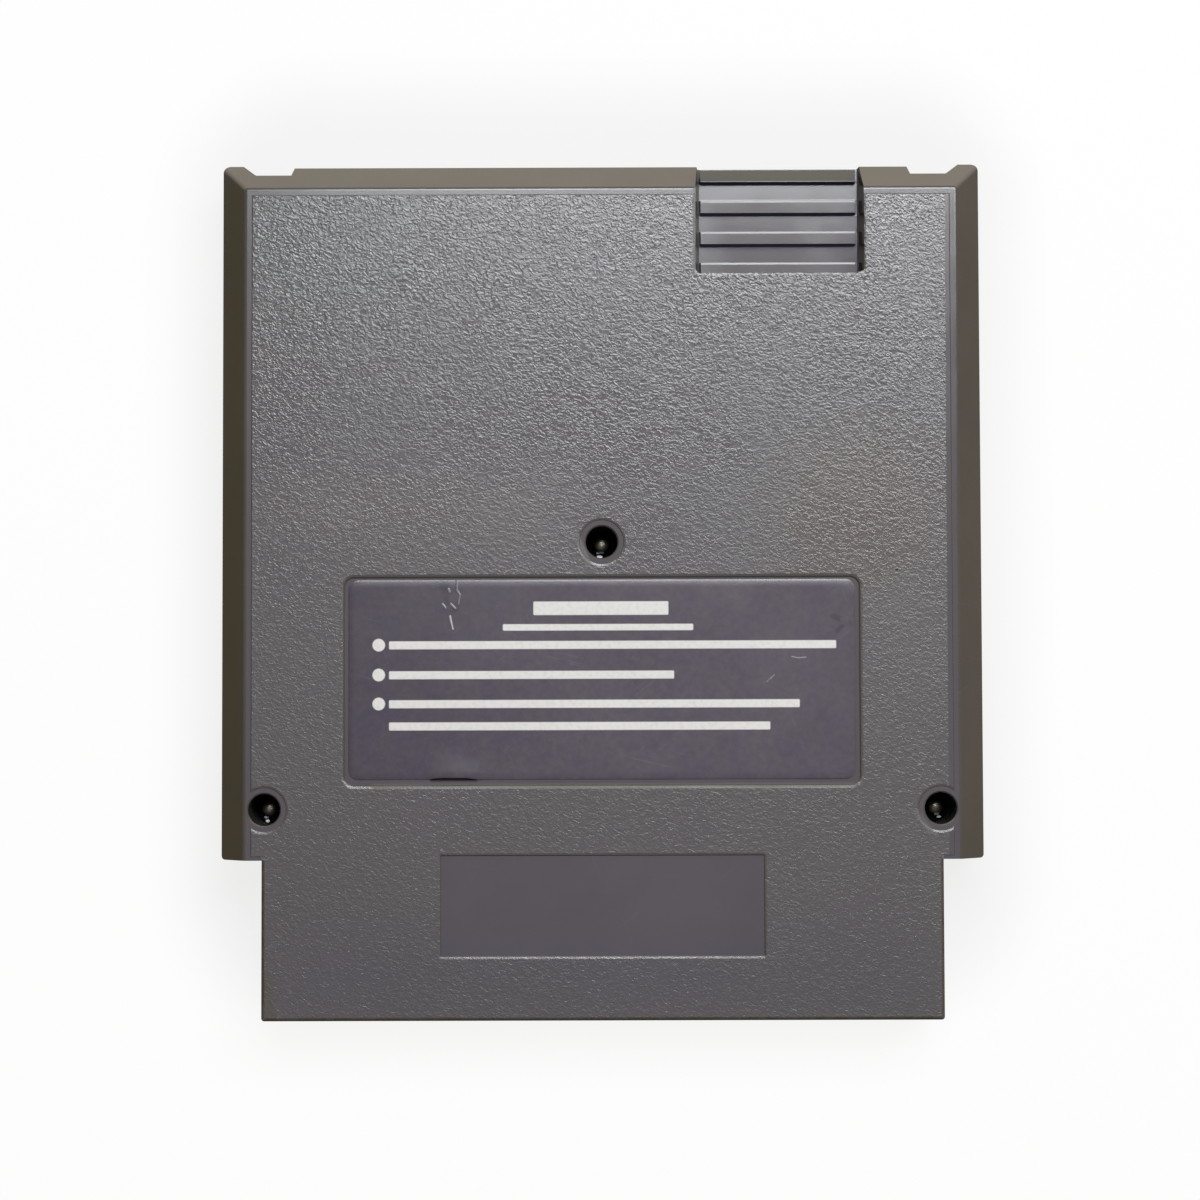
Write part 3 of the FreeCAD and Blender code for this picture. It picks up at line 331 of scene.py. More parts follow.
def handling_wear():
    """Cloudy grease and fine scratches left by handling."""
    hair = (0.3 * MM, 16.0 * MM, 16.0 * MM)
    turns_and_starts = ((0.35, 31.0), (-0.9, 77.0), (1.35, 52.0))

    def build(nodes, source):
        place = source["Place"]
        cloud = nodes.noise(place, 55.0, detail=4.0, roughness=0.6)
        lines = []
        for turn, start in turns_and_starts:
            run = nodes.mapping(place, hair, turn=turn, start=(start * MM, 0, 0))
            line = nodes.ramp(nodes.noise(run, 1.0, detail=0.0), 0.735, 0.77)
            broken = nodes.noise(place, 150.0 + start, detail=1.0)
            lines.append(nodes.product(line, nodes.ramp(broken, 0.55, 0.68)))
        return {"Cloud": cloud, "Scratch": nodes.largest(lines)}

    return shared_group(
        "Handling wear", {"Place": "vector"}, {"Cloud": "value", "Scratch": "value"}, build
    )


def printed_bar():
    """Bar along the axes with round corners, flat in the X and Y plane."""

    def build(nodes, source):
        away = nodes.vector("ABSOLUTE", nodes.vector("SUBTRACT", source["Place"], source["Centre"]))
        x, y, _ = nodes.axes(nodes.vector("SUBTRACT", away, source["Half"]))
        over_x = nodes.math("ADD", x, source["Corner"])
        over_y = nodes.math("ADD", y, source["Corner"])
        corner = nodes.add("ShaderNodeCombineXYZ", {
            0: nodes.math("MAXIMUM", over_x, 0.0), 1: nodes.math("MAXIMUM", over_y, 0.0), 2: 0.0,
        }).outputs[0]
        inside = nodes.math("MINIMUM", nodes.math("MAXIMUM", over_x, over_y), 0.0)
        distance = nodes.math("ADD", nodes.vector("LENGTH", corner), inside)
        gap = nodes.math("SUBTRACT", distance, source["Corner"])
        soft = source["Soft"]
        return {"Mask": nodes.ramp(gap, nodes.product(soft, -1.0), soft, 1.0, 0.0)}

    return shared_group(
        "Printed bar",
        {"Place": "vector", "Centre": "vector", "Half": "vector", "Corner": "value", "Soft": "value"},
        {"Mask": "value"}, build,
    )


def scuff_stroke():
    """Straight scuff between two points, broken up and fading at its rim, flat in the X and Y plane."""

    def build(nodes, source):
        flat = (1.0, 1.0, 0.0)
        place = nodes.vector("MULTIPLY", source["Place"], flat)
        start = nodes.vector("MULTIPLY", source["Start"], flat)
        run = nodes.vector("SUBTRACT", nodes.vector("MULTIPLY", source["End"], flat), start)
        offset = nodes.vector("SUBTRACT", place, start)
        reach = nodes.vector("DOT_PRODUCT", offset, run)
        along = nodes.math("DIVIDE", reach, nodes.vector("DOT_PRODUCT", run, run), clamp=True)
        gap = nodes.vector("DISTANCE", offset, nodes.vector("SCALE", run, scale=along))
        rim = nodes.product(source["Width"], 0.5)
        band = nodes.ramp(gap, nodes.product(rim, 0.25), rim, 1.0, 0.0)
        fineness = nodes.math("DIVIDE", 0.7, source["Width"])
        speckled = nodes.noise(place, fineness, detail=2.0, roughness=0.6)
        low = nodes.product(source["Break"], 0.62)
        kept = nodes.ramp(speckled, nodes.math("SUBTRACT", low, 0.12), nodes.total(low, 0.06))
        return {"Mask": nodes.product(band, kept)}

    return shared_group(
        "Scuff stroke",
        {"Place": "vector", "Start": "vector", "End": "vector", "Width": "value", "Break": "value"},
        {"Mask": "value"}, build,
    )


class Finish:
    """New material: its node tree, its shader and the place of a surface point."""

    def __init__(self, name, middle=None, **constants):
        self.material = bpy.data.materials.new(name)
        self.material.use_nodes = True
        self.nodes = Nodes(self.material.node_tree)
        self.shader = self.material.node_tree.nodes["Principled BSDF"]
        source = self.nodes.add("ShaderNodeTexCoord")
        self.place = source.outputs["Object"]
        if middle:
            self.place = self.nodes.vector("SUBTRACT", self.place, tuple(middle))
        self.normal = source.outputs["Normal"]
        for label, value in constants.items():
            self.set(label.replace("_", " "), value)

    def set(self, label, value):
        """Sets or joins a socket of the shader."""
        self.nodes.feed(self.shader.inputs[label], value)

    def bump(self, height):
        """Raises the surface by a height in metres."""
        node = self.nodes.add("ShaderNodeBump", {"Strength": 1.0, "Distance": 1.0, "Height": height})
        self.set("Normal", node.outputs["Normal"])

    def wear(self):
        """Shared handling wear at this material's place."""
        return self.nodes.group(handling_wear(), Place=self.place)

    def bar(self, centre, half, corner, soft):
        """Shared bar with round corners at this material's place, in metres."""
        return self.nodes.group(
            printed_bar(), Place=self.place, Centre=centre, Half=half, Corner=corner, Soft=soft
        )["Mask"]

    def disc(self, centre, radius, soft):
        """Shared disc at this material's place, in metres."""
        return self.bar(centre, (radius, radius, 0.0), radius, soft)

    def patch(self, place, corner, soft):
        """Shared bar given as a centre with half a size, a corner and a soft rim, in millimetres."""
        centre, half = place
        return self.bar(flat_point(centre), flat_point(half), corner * MM, soft * MM)

    def strokes(self, marks):
        """Shared scuffs given as start, end, width and break, with lengths in millimetres."""
        group = scuff_stroke()
        masks = []
        for start, end, width, broken in marks:
            stroke = self.nodes.group(
                group, Place=self.place, Start=flat_point(start), End=flat_point(end),
                Width=width * MM, Break=broken,
            )
            masks.append(stroke["Mask"])
        return self.nodes.largest(masks)


def flat_point(place):
    """Point of the plan in metres."""
    return place[0] * MM, place[1] * MM, 0.0


def paint(node, finish):
    """Gives a carried-over node its material."""
    slots = NODES[node].data.materials
    slots.clear()
    slots.append(finish.material)


# Marks of the case, in millimetres, painted light and painted shade among them. A tint patch has a
# centre, half a size and a tint, and a place has a centre and half a size. A stroke has a start, an
# end, a width and how broken up it is.
# Tinted patches of the plastic; the fourth, a lighter band on the left of the rear face, is painted
# light.
TINTS_AND_PAINTED_LIGHT = (
    ((40.0, 12.0), (12.0, 12.0), (0.083, 0.068, 0.050)),
    ((-42.0, 54.0), (12.0, 10.0), (0.067, 0.068, 0.056)),
    ((0.0, -60.0), (48.0, 6.0), (0.068, 0.060, 0.056)),
    ((-27.0, 13.0), (20.0, 4.0), (0.092, 0.079, 0.068)),
)
TINT_SOFT = 9.0
# The first bar's top gets painted shade.
FIRST_BAR = ((28.0, 65.5), (12.4, 1.08))
SECOND_BAR = ((28.0, 60.56), (12.6, 1.25))
SECOND_BAR_LEAN = math.radians(0.45)
BAR_LEFT, BAR_RIGHT = 15.6, 40.4
CREST_ROWS = (61.3, 56.36, 51.43)
CREST_STROKES = tuple(((BAR_LEFT, row), (BAR_RIGHT, row), 0.7, 0.0) for row in CREST_ROWS)
BELOW_LABEL = LABEL_LOW.y / MM - 1.0
RIM_STROKES = (
    ((14.62, 49.2), (14.62, 64.6), 0.8, 0.0),
    ((BAR_LEFT, 64.62), (BAR_RIGHT, 64.62), 0.7, 0.0),
    ((LABEL_LOW.x / MM + 4.0, BELOW_LABEL), (LABEL_HIGH.x / MM, BELOW_LABEL), 1.2, 0.0),
    ((-3.9, 8.0), (-2.1, 3.9), 1.4, 0.0),
    ((48.7, -35.0), (50.8, -37.8), 1.4, 0.0),
)
NECK_SIDE = 52.7
# Brown dirt with painted shade along the neck's sides and lower edge.
SOIL_AND_SHADE_STROKES = (
    ((-NECK_SIDE, -43.0), (-NECK_SIDE, -64.0), 1.3, 0.78),
    ((-52.3, -60.0), (-51.4, -66.2), 2.6, 0.72),
    ((-51.0, -66.5), (51.0, -66.5), 1.0, 0.85),
    ((NECK_SIDE, -43.0), (NECK_SIDE, -66.0), 1.0, 0.86),
)
# Painted warm reflection along the left slope.
LEFT_REFLECTION_STROKES = (((-57.7, 62.0), (-57.7, -42.0), 6.0, 0.55),)
# Painted shade at the foot of the recess's left wall.
WALL_FOOT_STROKES = (((15.4, 49.8), (15.4, 66.9), 0.75, 0.0),)
# Painted shadow under the label's loose lower edge.
GAP_SHADOW = ((sum(LABEL_GAP) / 2 + 0.3, LABEL_LOW.y / MM), (3.7, 0.27))
CRUMB = ((LABEL_HIGH.x / MM + 6.5, LABEL_HIGH.y / MM + 1.4), (0.26, 0.16))
# Where the grain ends at the right, where its wear fades out and how high slow dents are, in metres.
RUBBED_EDGE = (53.9 * MM, 53.6 * MM)
WORN_TO_FRESH = (-12.0 * MM, 50.0 * MM)
DENT_HEIGHT = 0.06 * MM
# Painted highlight of the grain ridges.
RIDGE_HIGHLIGHT_TINT = (0.17, 0.165, 0.16)
SCRATCH_TINT = (0.22, 0.21, 0.20)
# Painted shade on the first bar's top.
FIRST_BAR_SHADE_TINT = (0.030, 0.033, 0.036)
# Black of dirt and painted shade.
BLACK_DIRT_AND_SHADE = (0.006, 0.005, 0.004)


def case_masks(finish):
    """Where the rear face, the grain and the upward faces lie, and all that is off the front face."""
    nodes = finish.nodes
    x, _, z = nodes.axes(finish.place)
    facing = nodes.axes(finish.normal)[2]
    at_rear = nodes.ramp(z, REAR_LEVEL - 0.08 * MM, REAR_LEVEL - 0.03 * MM)
    rear = nodes.product(at_rear, nodes.ramp(facing, 0.95, 0.985))
    front = nodes.product(nodes.ramp(z, 0.05 * MM, 0.02 * MM), nodes.ramp(facing, -0.95, -0.985))
    flat = nodes.math("ADD", rear, front, clamp=True)
    return {
        "rear": rear,
        "grained": nodes.product(flat, nodes.ramp(x, *RUBBED_EDGE)),
        "upward": nodes.ramp(facing, 0.2, 0.5),
        "off_front": nodes.ramp(z, 2.0 * MM, 3.0 * MM),
    }


def case_dirt_and_shade(finish, masks):
    """Mask of painted black shade in the screw wells, at the foot of the recess wall and in the label's
    gap, with a dark crumb of dirt, and of the painted gap shadow alone.
    """
    nodes = finish.nodes
    z = nodes.axes(finish.place)[2]

    def below(low, high, end=1.0):
        """Grows from none to its end while the depth under the rear face goes from low to high."""
        return nodes.ramp(z, REAR_LEVEL - low * MM, REAR_LEVEL - high * MM, 0.0, end)

    # Painted black shade deep in the screw wells, in the label's gap and at the recess's wall foot, and
    # a dark crumb of dirt.
    wells = nodes.largest([finish.disc(axis, WELL_RADIUS, 0.05 * MM) for axis in SCREW_PLACES])
    deep = nodes.product(wells, below(0.15, 1.3), masks["off_front"])
    gap_shadow_patch = finish.patch(GAP_SHADOW, 0.27, 0.24)
    gap_shadow_mask = nodes.product(gap_shadow_patch, below(0.1, 0.25), masks["off_front"])
    wall_foot = finish.strokes(WALL_FOOT_STROKES)
    wall_foot_shade = nodes.product(wall_foot, masks["upward"], below(1.0, 2.5, 0.85))
    crumb = nodes.product(finish.patch(CRUMB, 0.16, 0.12), masks["rear"])
    return nodes.largest([deep, gap_shadow_mask, wall_foot_shade, crumb]), gap_shadow_mask


def case_relief(finish, settings, masks, grain):
    """Raises the grain, the fine texture and slow dents, and leans the second bar of the recess."""
    nodes = finish.nodes
    y = nodes.axes(finish.place)[1]
    height = nodes.ramp(y, *WORN_TO_FRESH, settings.worn_height, settings.grain_height)
    pebble = nodes.product(grain["Height"], height, masks["grained"])
    satin = nodes.noise(finish.place, 5200.0, detail=2.0, roughness=0.6)
    fine = nodes.product(satin, settings.satin_height)
    slow = nodes.product(nodes.noise(finish.place, 21.0, detail=2.0), DENT_HEIGHT)
    second_bar = nodes.product(finish.patch(SECOND_BAR, 0.05, 0.05), masks["upward"])
    offset = nodes.math("SUBTRACT", y, SECOND_BAR[0][1] * MM)
    lean = nodes.product(second_bar, nodes.product(offset, math.tan(SECOND_BAR_LEAN)))
    finish.bump(nodes.total(pebble, fine, slow, lean))


def case_colour(finish, settings, masks, grain, wear, soil_and_shade, black_dirt_and_shade):
    """Colours the tinted plastic with a painted lighter band, painted highlights on the grain ridges,
    scratches, dirt, painted reflection and painted shade.
    """
    nodes = finish.nodes
    tinted_and_lit = tuple(settings.plastic)
    # Tinted patches, the fourth one a painted lighter band.
    for centre, half, tint in TINTS_AND_PAINTED_LIGHT:
        tinted_and_lit = nodes.mix(finish.patch((centre, half), min(half), TINT_SOFT), tinted_and_lit, tint)
    tone = nodes.ramp(wear["Cloud"], 0.3, 0.72, 0.92, 1.07)
    toned = nodes.vector("SCALE", tinted_and_lit, scale=tone)
    # Grain ridges are painted lighter, a painted highlight.
    ridge = nodes.product(grain["Ridge"], masks["grained"], 0.10)
    speckled = nodes.mix(ridge, toned, RIDGE_HIGHLIGHT_TINT)
    scratched = nodes.mix(nodes.product(wear["Scratch"], 0.05), speckled, SCRATCH_TINT)
    # Painted warm reflection on the left slope.
    left_reflection_mask = nodes.product(finish.strokes(LEFT_REFLECTION_STROKES), 0.6)
    reflection_tinted = nodes.mix(left_reflection_mask, scratched, tuple(settings.left_reflection))
    # Brown dirt with painted edge shade along the neck.
    soiled_and_shaded = nodes.mix(nodes.product(soil_and_shade, 0.62), reflection_tinted, tuple(settings.soil_and_shade))
    # Painted shade darkens the first bar's top.
    first_bar_shade = nodes.product(finish.patch(FIRST_BAR, 0.1, 0.1), masks["upward"], 0.6)
    shaded = nodes.mix(first_bar_shade, soiled_and_shaded, FIRST_BAR_SHADE_TINT)
    finish.set("Base Color", nodes.mix(black_dirt_and_shade, shaded, BLACK_DIRT_AND_SHADE))


def case_roughness(finish, settings, masks, wear, soil_and_shade, black_dirt_and_shade):
    """Roughens the grain, the scuffed rims and crests, and the dirt and painted shade."""
    nodes = finish.nodes
    y = nodes.axes(finish.place)[1]
    rough = nodes.ramp(y, *WORN_TO_FRESH, settings.worn_roughness, settings.grain_roughness)
    coarser = nodes.math("SUBTRACT", rough, settings.smooth_roughness)
    base = nodes.total(nodes.product(masks["grained"], coarser), settings.smooth_roughness)
    greasy = nodes.total(base, nodes.ramp(wear["Cloud"], 0.3, 0.7, 0.05, -0.05))
    rims = nodes.product(finish.strokes(RIM_STROKES), 0.25)
    crests = nodes.product(finish.strokes(CREST_STROKES), 0.07)
    scuffed = nodes.product(nodes.total(rims, crests), masks["off_front"])
    shade_and_dirt_marks = nodes.total(scuffed, nodes.product(soil_and_shade, 0.2), nodes.product(black_dirt_and_shade, 0.5))
    finish.set("Roughness", nodes.math("ADD", greasy, shade_and_dirt_marks, clamp=True))


def case_plastic(settings):
    """Moulded grey plastic: pebbled on the flat faces, satin on borders, beds and slopes."""
    finish = Finish("case plastic", IOR=1.52)
    nodes = finish.nodes
    wear = finish.wear()
    grain = nodes.group(moulded_grain(), Place=finish.place, Pebble=settings.grain_size)
    masks = case_masks(finish)
    soil_and_shade = finish.strokes(SOIL_AND_SHADE_STROKES)
    black_dirt_and_shade, gap_shadow_mask = case_dirt_and_shade(finish, masks)
    case_relief(finish, settings, masks, grain)
    case_colour(finish, settings, masks, grain, wear, soil_and_shade, black_dirt_and_shade)
    case_roughness(finish, settings, masks, wear, soil_and_shade, black_dirt_and_shade)
    # A metallic value keeps the painted shadow in the label's gap black, as depth would.
    finish.set("Metallic", nodes.product(gap_shadow_mask, 0.9))
    return finish


def shades(base, factor):
    """Colour and a lighter or darker one."""
    return tuple(base), tuple(min(1.0, factor * part) for part in base)


# Height of the finest bumps, in metres.
FINE_HEIGHT = 0.004 * MM
# Painted glints of each screw, in millimetres from its axis, with half a size.
SCREW_GLINTS = (
    (((-0.26, -1.28), (0.60, 0.13)), ((-0.34, -1.85), (0.42, 0.23))),
    (((-0.52, -1.40), (0.40, 0.18)), ((-0.43, -2.02), (0.30, 0.22))),
    (((0.22, -1.16), (0.46, 0.19)), ((0.62, -1.62), (0.34, 0.16))),
)


def screw_steel(settings):
    """Steel that is tarnished on the crowns, with dirt and painted shade round them and painted glints
    in a few places.
    """
    finish = Finish("screw steel", Metallic=1.0)
    nodes = finish.nodes
    crowns = []
    glints = []
    for axis, marks in zip(SCREW_PLACES, SCREW_GLINTS):
        crowns.append(finish.disc(axis, settings.crown, 0.35 * MM))
        for offset, half in marks:
            centre = Vector(axis) + Vector(flat_point(offset))
            glints.append(finish.bar(tuple(centre), flat_point(half), min(half) * MM, 0.07 * MM))
    crown = nodes.largest(crowns)
    glint = nodes.largest(glints)
    spots = nodes.noise(finish.place, 900.0, detail=4.0, roughness=0.65)
    tarnish = nodes.ramp(spots, 0.42, 0.68)
    top = nodes.mix(tarnish, *shades(settings.steel, 0.6))
    # Dirt and painted shade round the crowns.
    shade_and_dirt_marks = nodes.mix(crown, tuple(settings.soot_and_shade), top)
    # Painted glints in a few places.
    finish.set("Base Color", nodes.mix(glint, shade_and_dirt_marks, tuple(settings.glint_colour)))
    crusted = nodes.product(nodes.math("SUBTRACT", 1.0, crown), 0.3)
    rough = nodes.ramp(tarnish, 0.0, 1.0, settings.roughness - 0.04, settings.roughness + 0.08)
    finish.set("Roughness", nodes.total(crusted, rough))
    finish.bump(nodes.product(nodes.noise(finish.place, 4200.0, detail=2.0), FINE_HEIGHT))
    return finish


# Print and marks of the rear label, in millimetres from its middle. A bar has a centre and half a size;
# a mark has a start, an end, a width and how broken up it is.
PRINT_BARS = (
    ((-0.15, 11.05), (10.5, 1.05)),
    ((-0.6, 8.09), (14.8, 0.5)),
    ((1.65, 5.35), (34.75, 0.62)),
    ((-10.95, 0.7), (22.15, 0.62)),
    ((-1.2, -3.8), (31.9, 0.62)),
    ((-3.5, -7.25), (29.6, 0.62)),
)
BULLETS = ((-34.7, 5.39), (-34.7, 0.75), (-34.7, -3.75))
BULLET_RADIUS = 0.98
PRINT_CORNER, PRINT_SOFT = 0.18, 0.09
LABEL_CREASES = (
    ((-22.53, 15.45), (-22.5, 13.85), 0.44, 0.55),
    ((-22.5, 13.85), (-22.05, 13.15), 0.40, 0.60),
    ((-22.05, 13.15), (-22.3, 11.75), 0.38, 0.62),
    ((-23.85, 14.05), (-23.7, 13.65), 0.52, 0.45),
    ((-24.8, 11.75), (-24.3, 11.15), 0.44, 0.5),
    ((-23.5, 11.75), (-22.8, 11.05), 0.46, 0.5),
)
LABEL_CURLS = (
    ((-23.6, 9.85), (-23.4, 8.85), 0.44, 0.35),
    ((-23.4, 8.85), (-23.15, 7.85), 0.36, 0.45),
)
LABEL_RUBS = (
    ((29.5, 3.45), (30.5, 3.25), 0.26, 0.55),
    ((30.5, 3.25), (31.7, 3.35), 0.30, 0.5),
    ((25.6, -0.45), (26.8, 0.65), 0.24, 0.75),
)
LABEL_SMUDGES = (
    ((36.6, 7.45), (37.3, 8.15), 1.1, 0.55),
    ((36.0, 9.75), (38.2, 8.65), 1.5, 0.86),
    ((-24.6, 14.75), (-23.0, 11.35), 2.6, 0.88),
)
SMUDGE_TINT = (0.022, 0.020, 0.022)
LABEL_SCRATCH_TINT = (0.22, 0.21, 0.22)
BARE_FIBRE_TINT = (0.55, 0.54, 0.53)


def label_ink(settings):
    """Dark printed paper with pale bars, faded patches and scuffs."""
    finish = Finish("rear label print", middle=(LABEL_LOW + LABEL_HIGH) / 2, IOR=1.48)
    nodes = finish.nodes
    wear = finish.wear()
    fade = nodes.noise(finish.place, 260.0, detail=3.0, roughness=0.55)
    mottle = nodes.noise(finish.place, 900.0, detail=3.0, roughness=0.6)
    along = nodes.axes(finish.place)[0]
    ground = nodes.mix(nodes.ramp(fade, 0.35, 0.65), tuple(settings.ink), tuple(settings.cool_ink))
    ground = nodes.vector("SCALE", ground, scale=nodes.ramp(mottle, 0.25, 0.75, 0.90, 1.10))
    # The ground is darker towards the left end of the label.
    ground = nodes.vector("SCALE", ground, scale=nodes.ramp(along, -42.0 * MM, 0.0, 0.84, 1.06))
    bars = [finish.patch(place, PRINT_CORNER, PRINT_SOFT) for place in PRINT_BARS]
    dot = (BULLET_RADIUS, BULLET_RADIUS)
    dots = [finish.patch((centre, dot), BULLET_RADIUS, PRINT_SOFT) for centre in BULLETS]
    thin = nodes.ramp(nodes.noise(finish.place, 1500.0, detail=3.0), 0.2, 0.6, 0.88, 1.0)
    print_mask = nodes.product(nodes.largest(bars + dots), thin)
    printed = nodes.mix(print_mask, ground, tuple(settings.print_cream))
    smudge = nodes.product(finish.strokes(LABEL_SMUDGES), 0.55)
    smudged = nodes.mix(smudge, printed, SMUDGE_TINT)
    crease = finish.strokes(LABEL_CREASES)
    curl = nodes.largest([finish.strokes(LABEL_CURLS), nodes.product(crease, 0.30)])
    scuff = nodes.largest([curl, nodes.product(finish.strokes(LABEL_RUBS), 0.45)])
    scratched = nodes.mix(nodes.product(wear["Scratch"], 0.10), smudged, LABEL_SCRATCH_TINT)
    finish.set("Base Color", nodes.mix(nodes.product(scuff, 0.6), scratched, BARE_FIBRE_TINT))
    sheen = nodes.ramp(wear["Cloud"], 0.3, 0.7, settings.roughness - 0.03, settings.roughness + 0.04)
    finish.set("Roughness", nodes.math("ADD", sheen, nodes.product(scuff, 0.25), clamp=True))
    fibre = nodes.noise(finish.place, 2600.0, detail=3.0, roughness=0.6)
    raised = nodes.total(nodes.product(fibre, FINE_HEIGHT), nodes.product(print_mask, FINE_HEIGHT))
    torn = nodes.product(nodes.largest([curl, crease]), 0.04 * MM)
    finish.bump(nodes.total(raised, torn))
    return finish


def label_paper(settings):
    """Bare fibres at the cut edge of the label."""
    finish = Finish("label paper edge", Roughness=0.85)
    nodes = finish.nodes
    fibre = nodes.noise(finish.place, 3000.0, detail=3.0, roughness=0.7)
    finish.set("Base Color", nodes.mix(nodes.ramp(fibre, 0.3, 0.7), *shades(settings.paper, 0.5)))
    finish.bump(nodes.product(fibre, 0.01 * MM))
    return finish


# Band of the front label: share of the label's height up to its middle, half its width, its soft rim
# and the tint of scratches.
BAND_SHARE = 0.22
BAND_HALF = 7.0 * MM
BAND_SOFT = 0.12 * MM
FRONT_SCRATCH_TINT = (0.6, 0.58, 0.55)


def front_label_print(settings):
    """Plain front label: pale ground with one dark band."""
    finish = Finish("front label print", IOR=1.48)
    nodes = finish.nodes
    wear = finish.wear()
    y = nodes.axes(finish.place)[1]
    middle = FRONT_LABEL_LOW.y + BAND_SHARE * (FRONT_LABEL_HIGH.y - FRONT_LABEL_LOW.y)
    off = nodes.math("ABSOLUTE", nodes.math("SUBTRACT", y, middle))
    band = nodes.ramp(off, BAND_HALF, BAND_HALF + BAND_SOFT, 1.0, 0.0)
    printed = nodes.mix(band, tuple(settings.front_ground), tuple(settings.front_band))
    toned = nodes.vector("SCALE", printed, scale=nodes.ramp(wear["Cloud"], 0.3, 0.7, 0.93, 1.04))
    scratch = nodes.product(wear["Scratch"], 0.2)
    finish.set("Base Color", nodes.mix(scratch, toned, FRONT_SCRATCH_TINT))
    finish.set("Roughness", nodes.ramp(wear["Cloud"], 0.3, 0.7, 0.30, 0.42))
    finish.bump(nodes.product(nodes.noise(finish.place, 2400.0, detail=3.0), FINE_HEIGHT))
    return finish


LANE_PITCH = 1.27 * MM
LANE_SWAY = 6.0 * MM
WEAVE_PITCH = 0.9 * MM


def board_laminate(settings):
    """Green solder mask over copper traces, with a woven core."""
    finish = Finish("board laminate", IOR=1.5)
    nodes = finish.nodes
    x, y, _ = nodes.axes(finish.place)
    sway = nodes.product(nodes.noise(finish.place, 60.0, detail=0.0), LANE_SWAY)
    lane = nodes.math("PINGPONG", nodes.math("DIVIDE", nodes.total(x, sway), LANE_PITCH), 0.5)
    trace = nodes.ramp(lane, 0.26, 0.31)
    turn = 2 * math.pi / WEAVE_PITCH
    weave = nodes.product(*(nodes.math("SINE", nodes.product(axis, turn)) for axis in (x, y)))
    green = nodes.mix(nodes.product(trace, 0.8), tuple(settings.mask), tuple(settings.trace))
    woven = nodes.ramp(weave, -1.0, 1.0, 0.92, 1.08)
    finish.set("Base Color", nodes.vector("SCALE", green, scale=woven))
    cloud = nodes.noise(finish.place, 240.0, detail=3.0)
    finish.set("Roughness", nodes.ramp(cloud, 0.3, 0.7, 0.22, 0.38))
    finish.bump(nodes.total(nodes.product(trace, 0.02 * MM), nodes.product(weave, 0.002 * MM)))
    return finish


RUBBED_GOLD = (0.72, 0.64, 0.46)
SPRING_STREAK = (0.11 * MM, 6.0 * MM, 6.0 * MM)


def contact_plating(settings):
    """Gold plating with the rub marks of a socket's springs."""
    finish = Finish("contact plating", Metallic=1.0)
    nodes = finish.nodes
    streaks = nodes.noise(nodes.mapping(finish.place, SPRING_STREAK), 1.0, detail=2.0)
    y = nodes.axes(finish.place)[1]
    middle = (CONTACT_LOW.y + CONTACT_HIGH.y) / 2
    off = nodes.math("ABSOLUTE", nodes.math("SUBTRACT", y, middle))
    near = nodes.ramp(off, 2.0 * MM, 4.5 * MM, 1.0, 0.0)
    rubbed = nodes.product(near, nodes.ramp(streaks, 0.45, 0.65), 0.6)
    finish.set("Base Color", nodes.mix(rubbed, tuple(settings.gold), RUBBED_GOLD))
    finish.set("Roughness", nodes.ramp(streaks, 0.3, 0.7, 0.18, 0.36))
    finish.bump(nodes.product(streaks, 0.003 * MM))
    return finish


def cloudy_finish(name, colour_pair, rough, scale, height, **constants):
    """Even material whose colour and roughness drift between two values, with a fine bump."""
    finish = Finish(name, **constants)
    nodes = finish.nodes
    cloud = nodes.noise(finish.place, scale, detail=4.0, roughness=0.6)
    finish.set("Base Color", nodes.mix(nodes.ramp(cloud, 0.3, 0.7), *colour_pair))
    finish.set("Roughness", nodes.ramp(cloud, 0.3, 0.7, *rough))
    finish.bump(nodes.product(nodes.noise(finish.place, 10 * scale, detail=2.0), height * MM))
    return finish


# Modelling.


def start_piece(name):
    """Names the primitive that was just added and puts its place into its mesh."""
    piece = bpy.context.object
    piece.name = name
    piece.data.name = name
    bpy.ops.object.transform_apply(location=True, rotation=True, scale=True)
    return piece


def choose_vertices(piece, test):
    """Selects, in edit mode, only the vertices that pass a test of their place."""
    bpy.ops.mesh.select_mode(type="VERT")
    bpy.ops.mesh.select_all(action="DESELECT")
    mesh = bmesh.from_edit_mesh(piece.data)
    for vertex in mesh.verts:
        vertex.select_set(test(vertex.co))
    mesh.select_flush_mode()
    bmesh.update_edit_mesh(piece.data)


def steps(low, high, pitch):
    """Even places strictly between two limits, about a pitch apart."""
    count = max(1, round((high - low) / pitch))
    return [low + (high - low) * place / count for place in range(1, count)]


def move_vertices(piece, test, value, reach):
    """Moves the vertices that pass a test, and the sheet round them within a reach."""
    choose_vertices(piece, test)
    bpy.ops.transform.translate(
        value=value, use_proportional_edit=True, use_proportional_connected=True,
        proportional_edit_falloff="SMOOTH", proportional_size=reach,
    )


# Mesh of the rear label, in metres, and the places where its lower edge lifts: X and reach in
# millimetres, with a share of the whole lift.
SHEET_PITCH = 1.2 * MM
EDGE_DEPTH = 0.1 * MM
GAP_INSET = 1.6 * MM
DRAW_REACH = 2.4 * MM
LIFT_HALF = 0.9 * MM
WAVE_SIZE = 9.0 * MM
LABEL_LIFTS = ((-23.0, 4.6, 1.0), (-19.6, 3.0, 0.35), (33.0, 5.0, 0.3), (8.0, 4.0, 0.15))


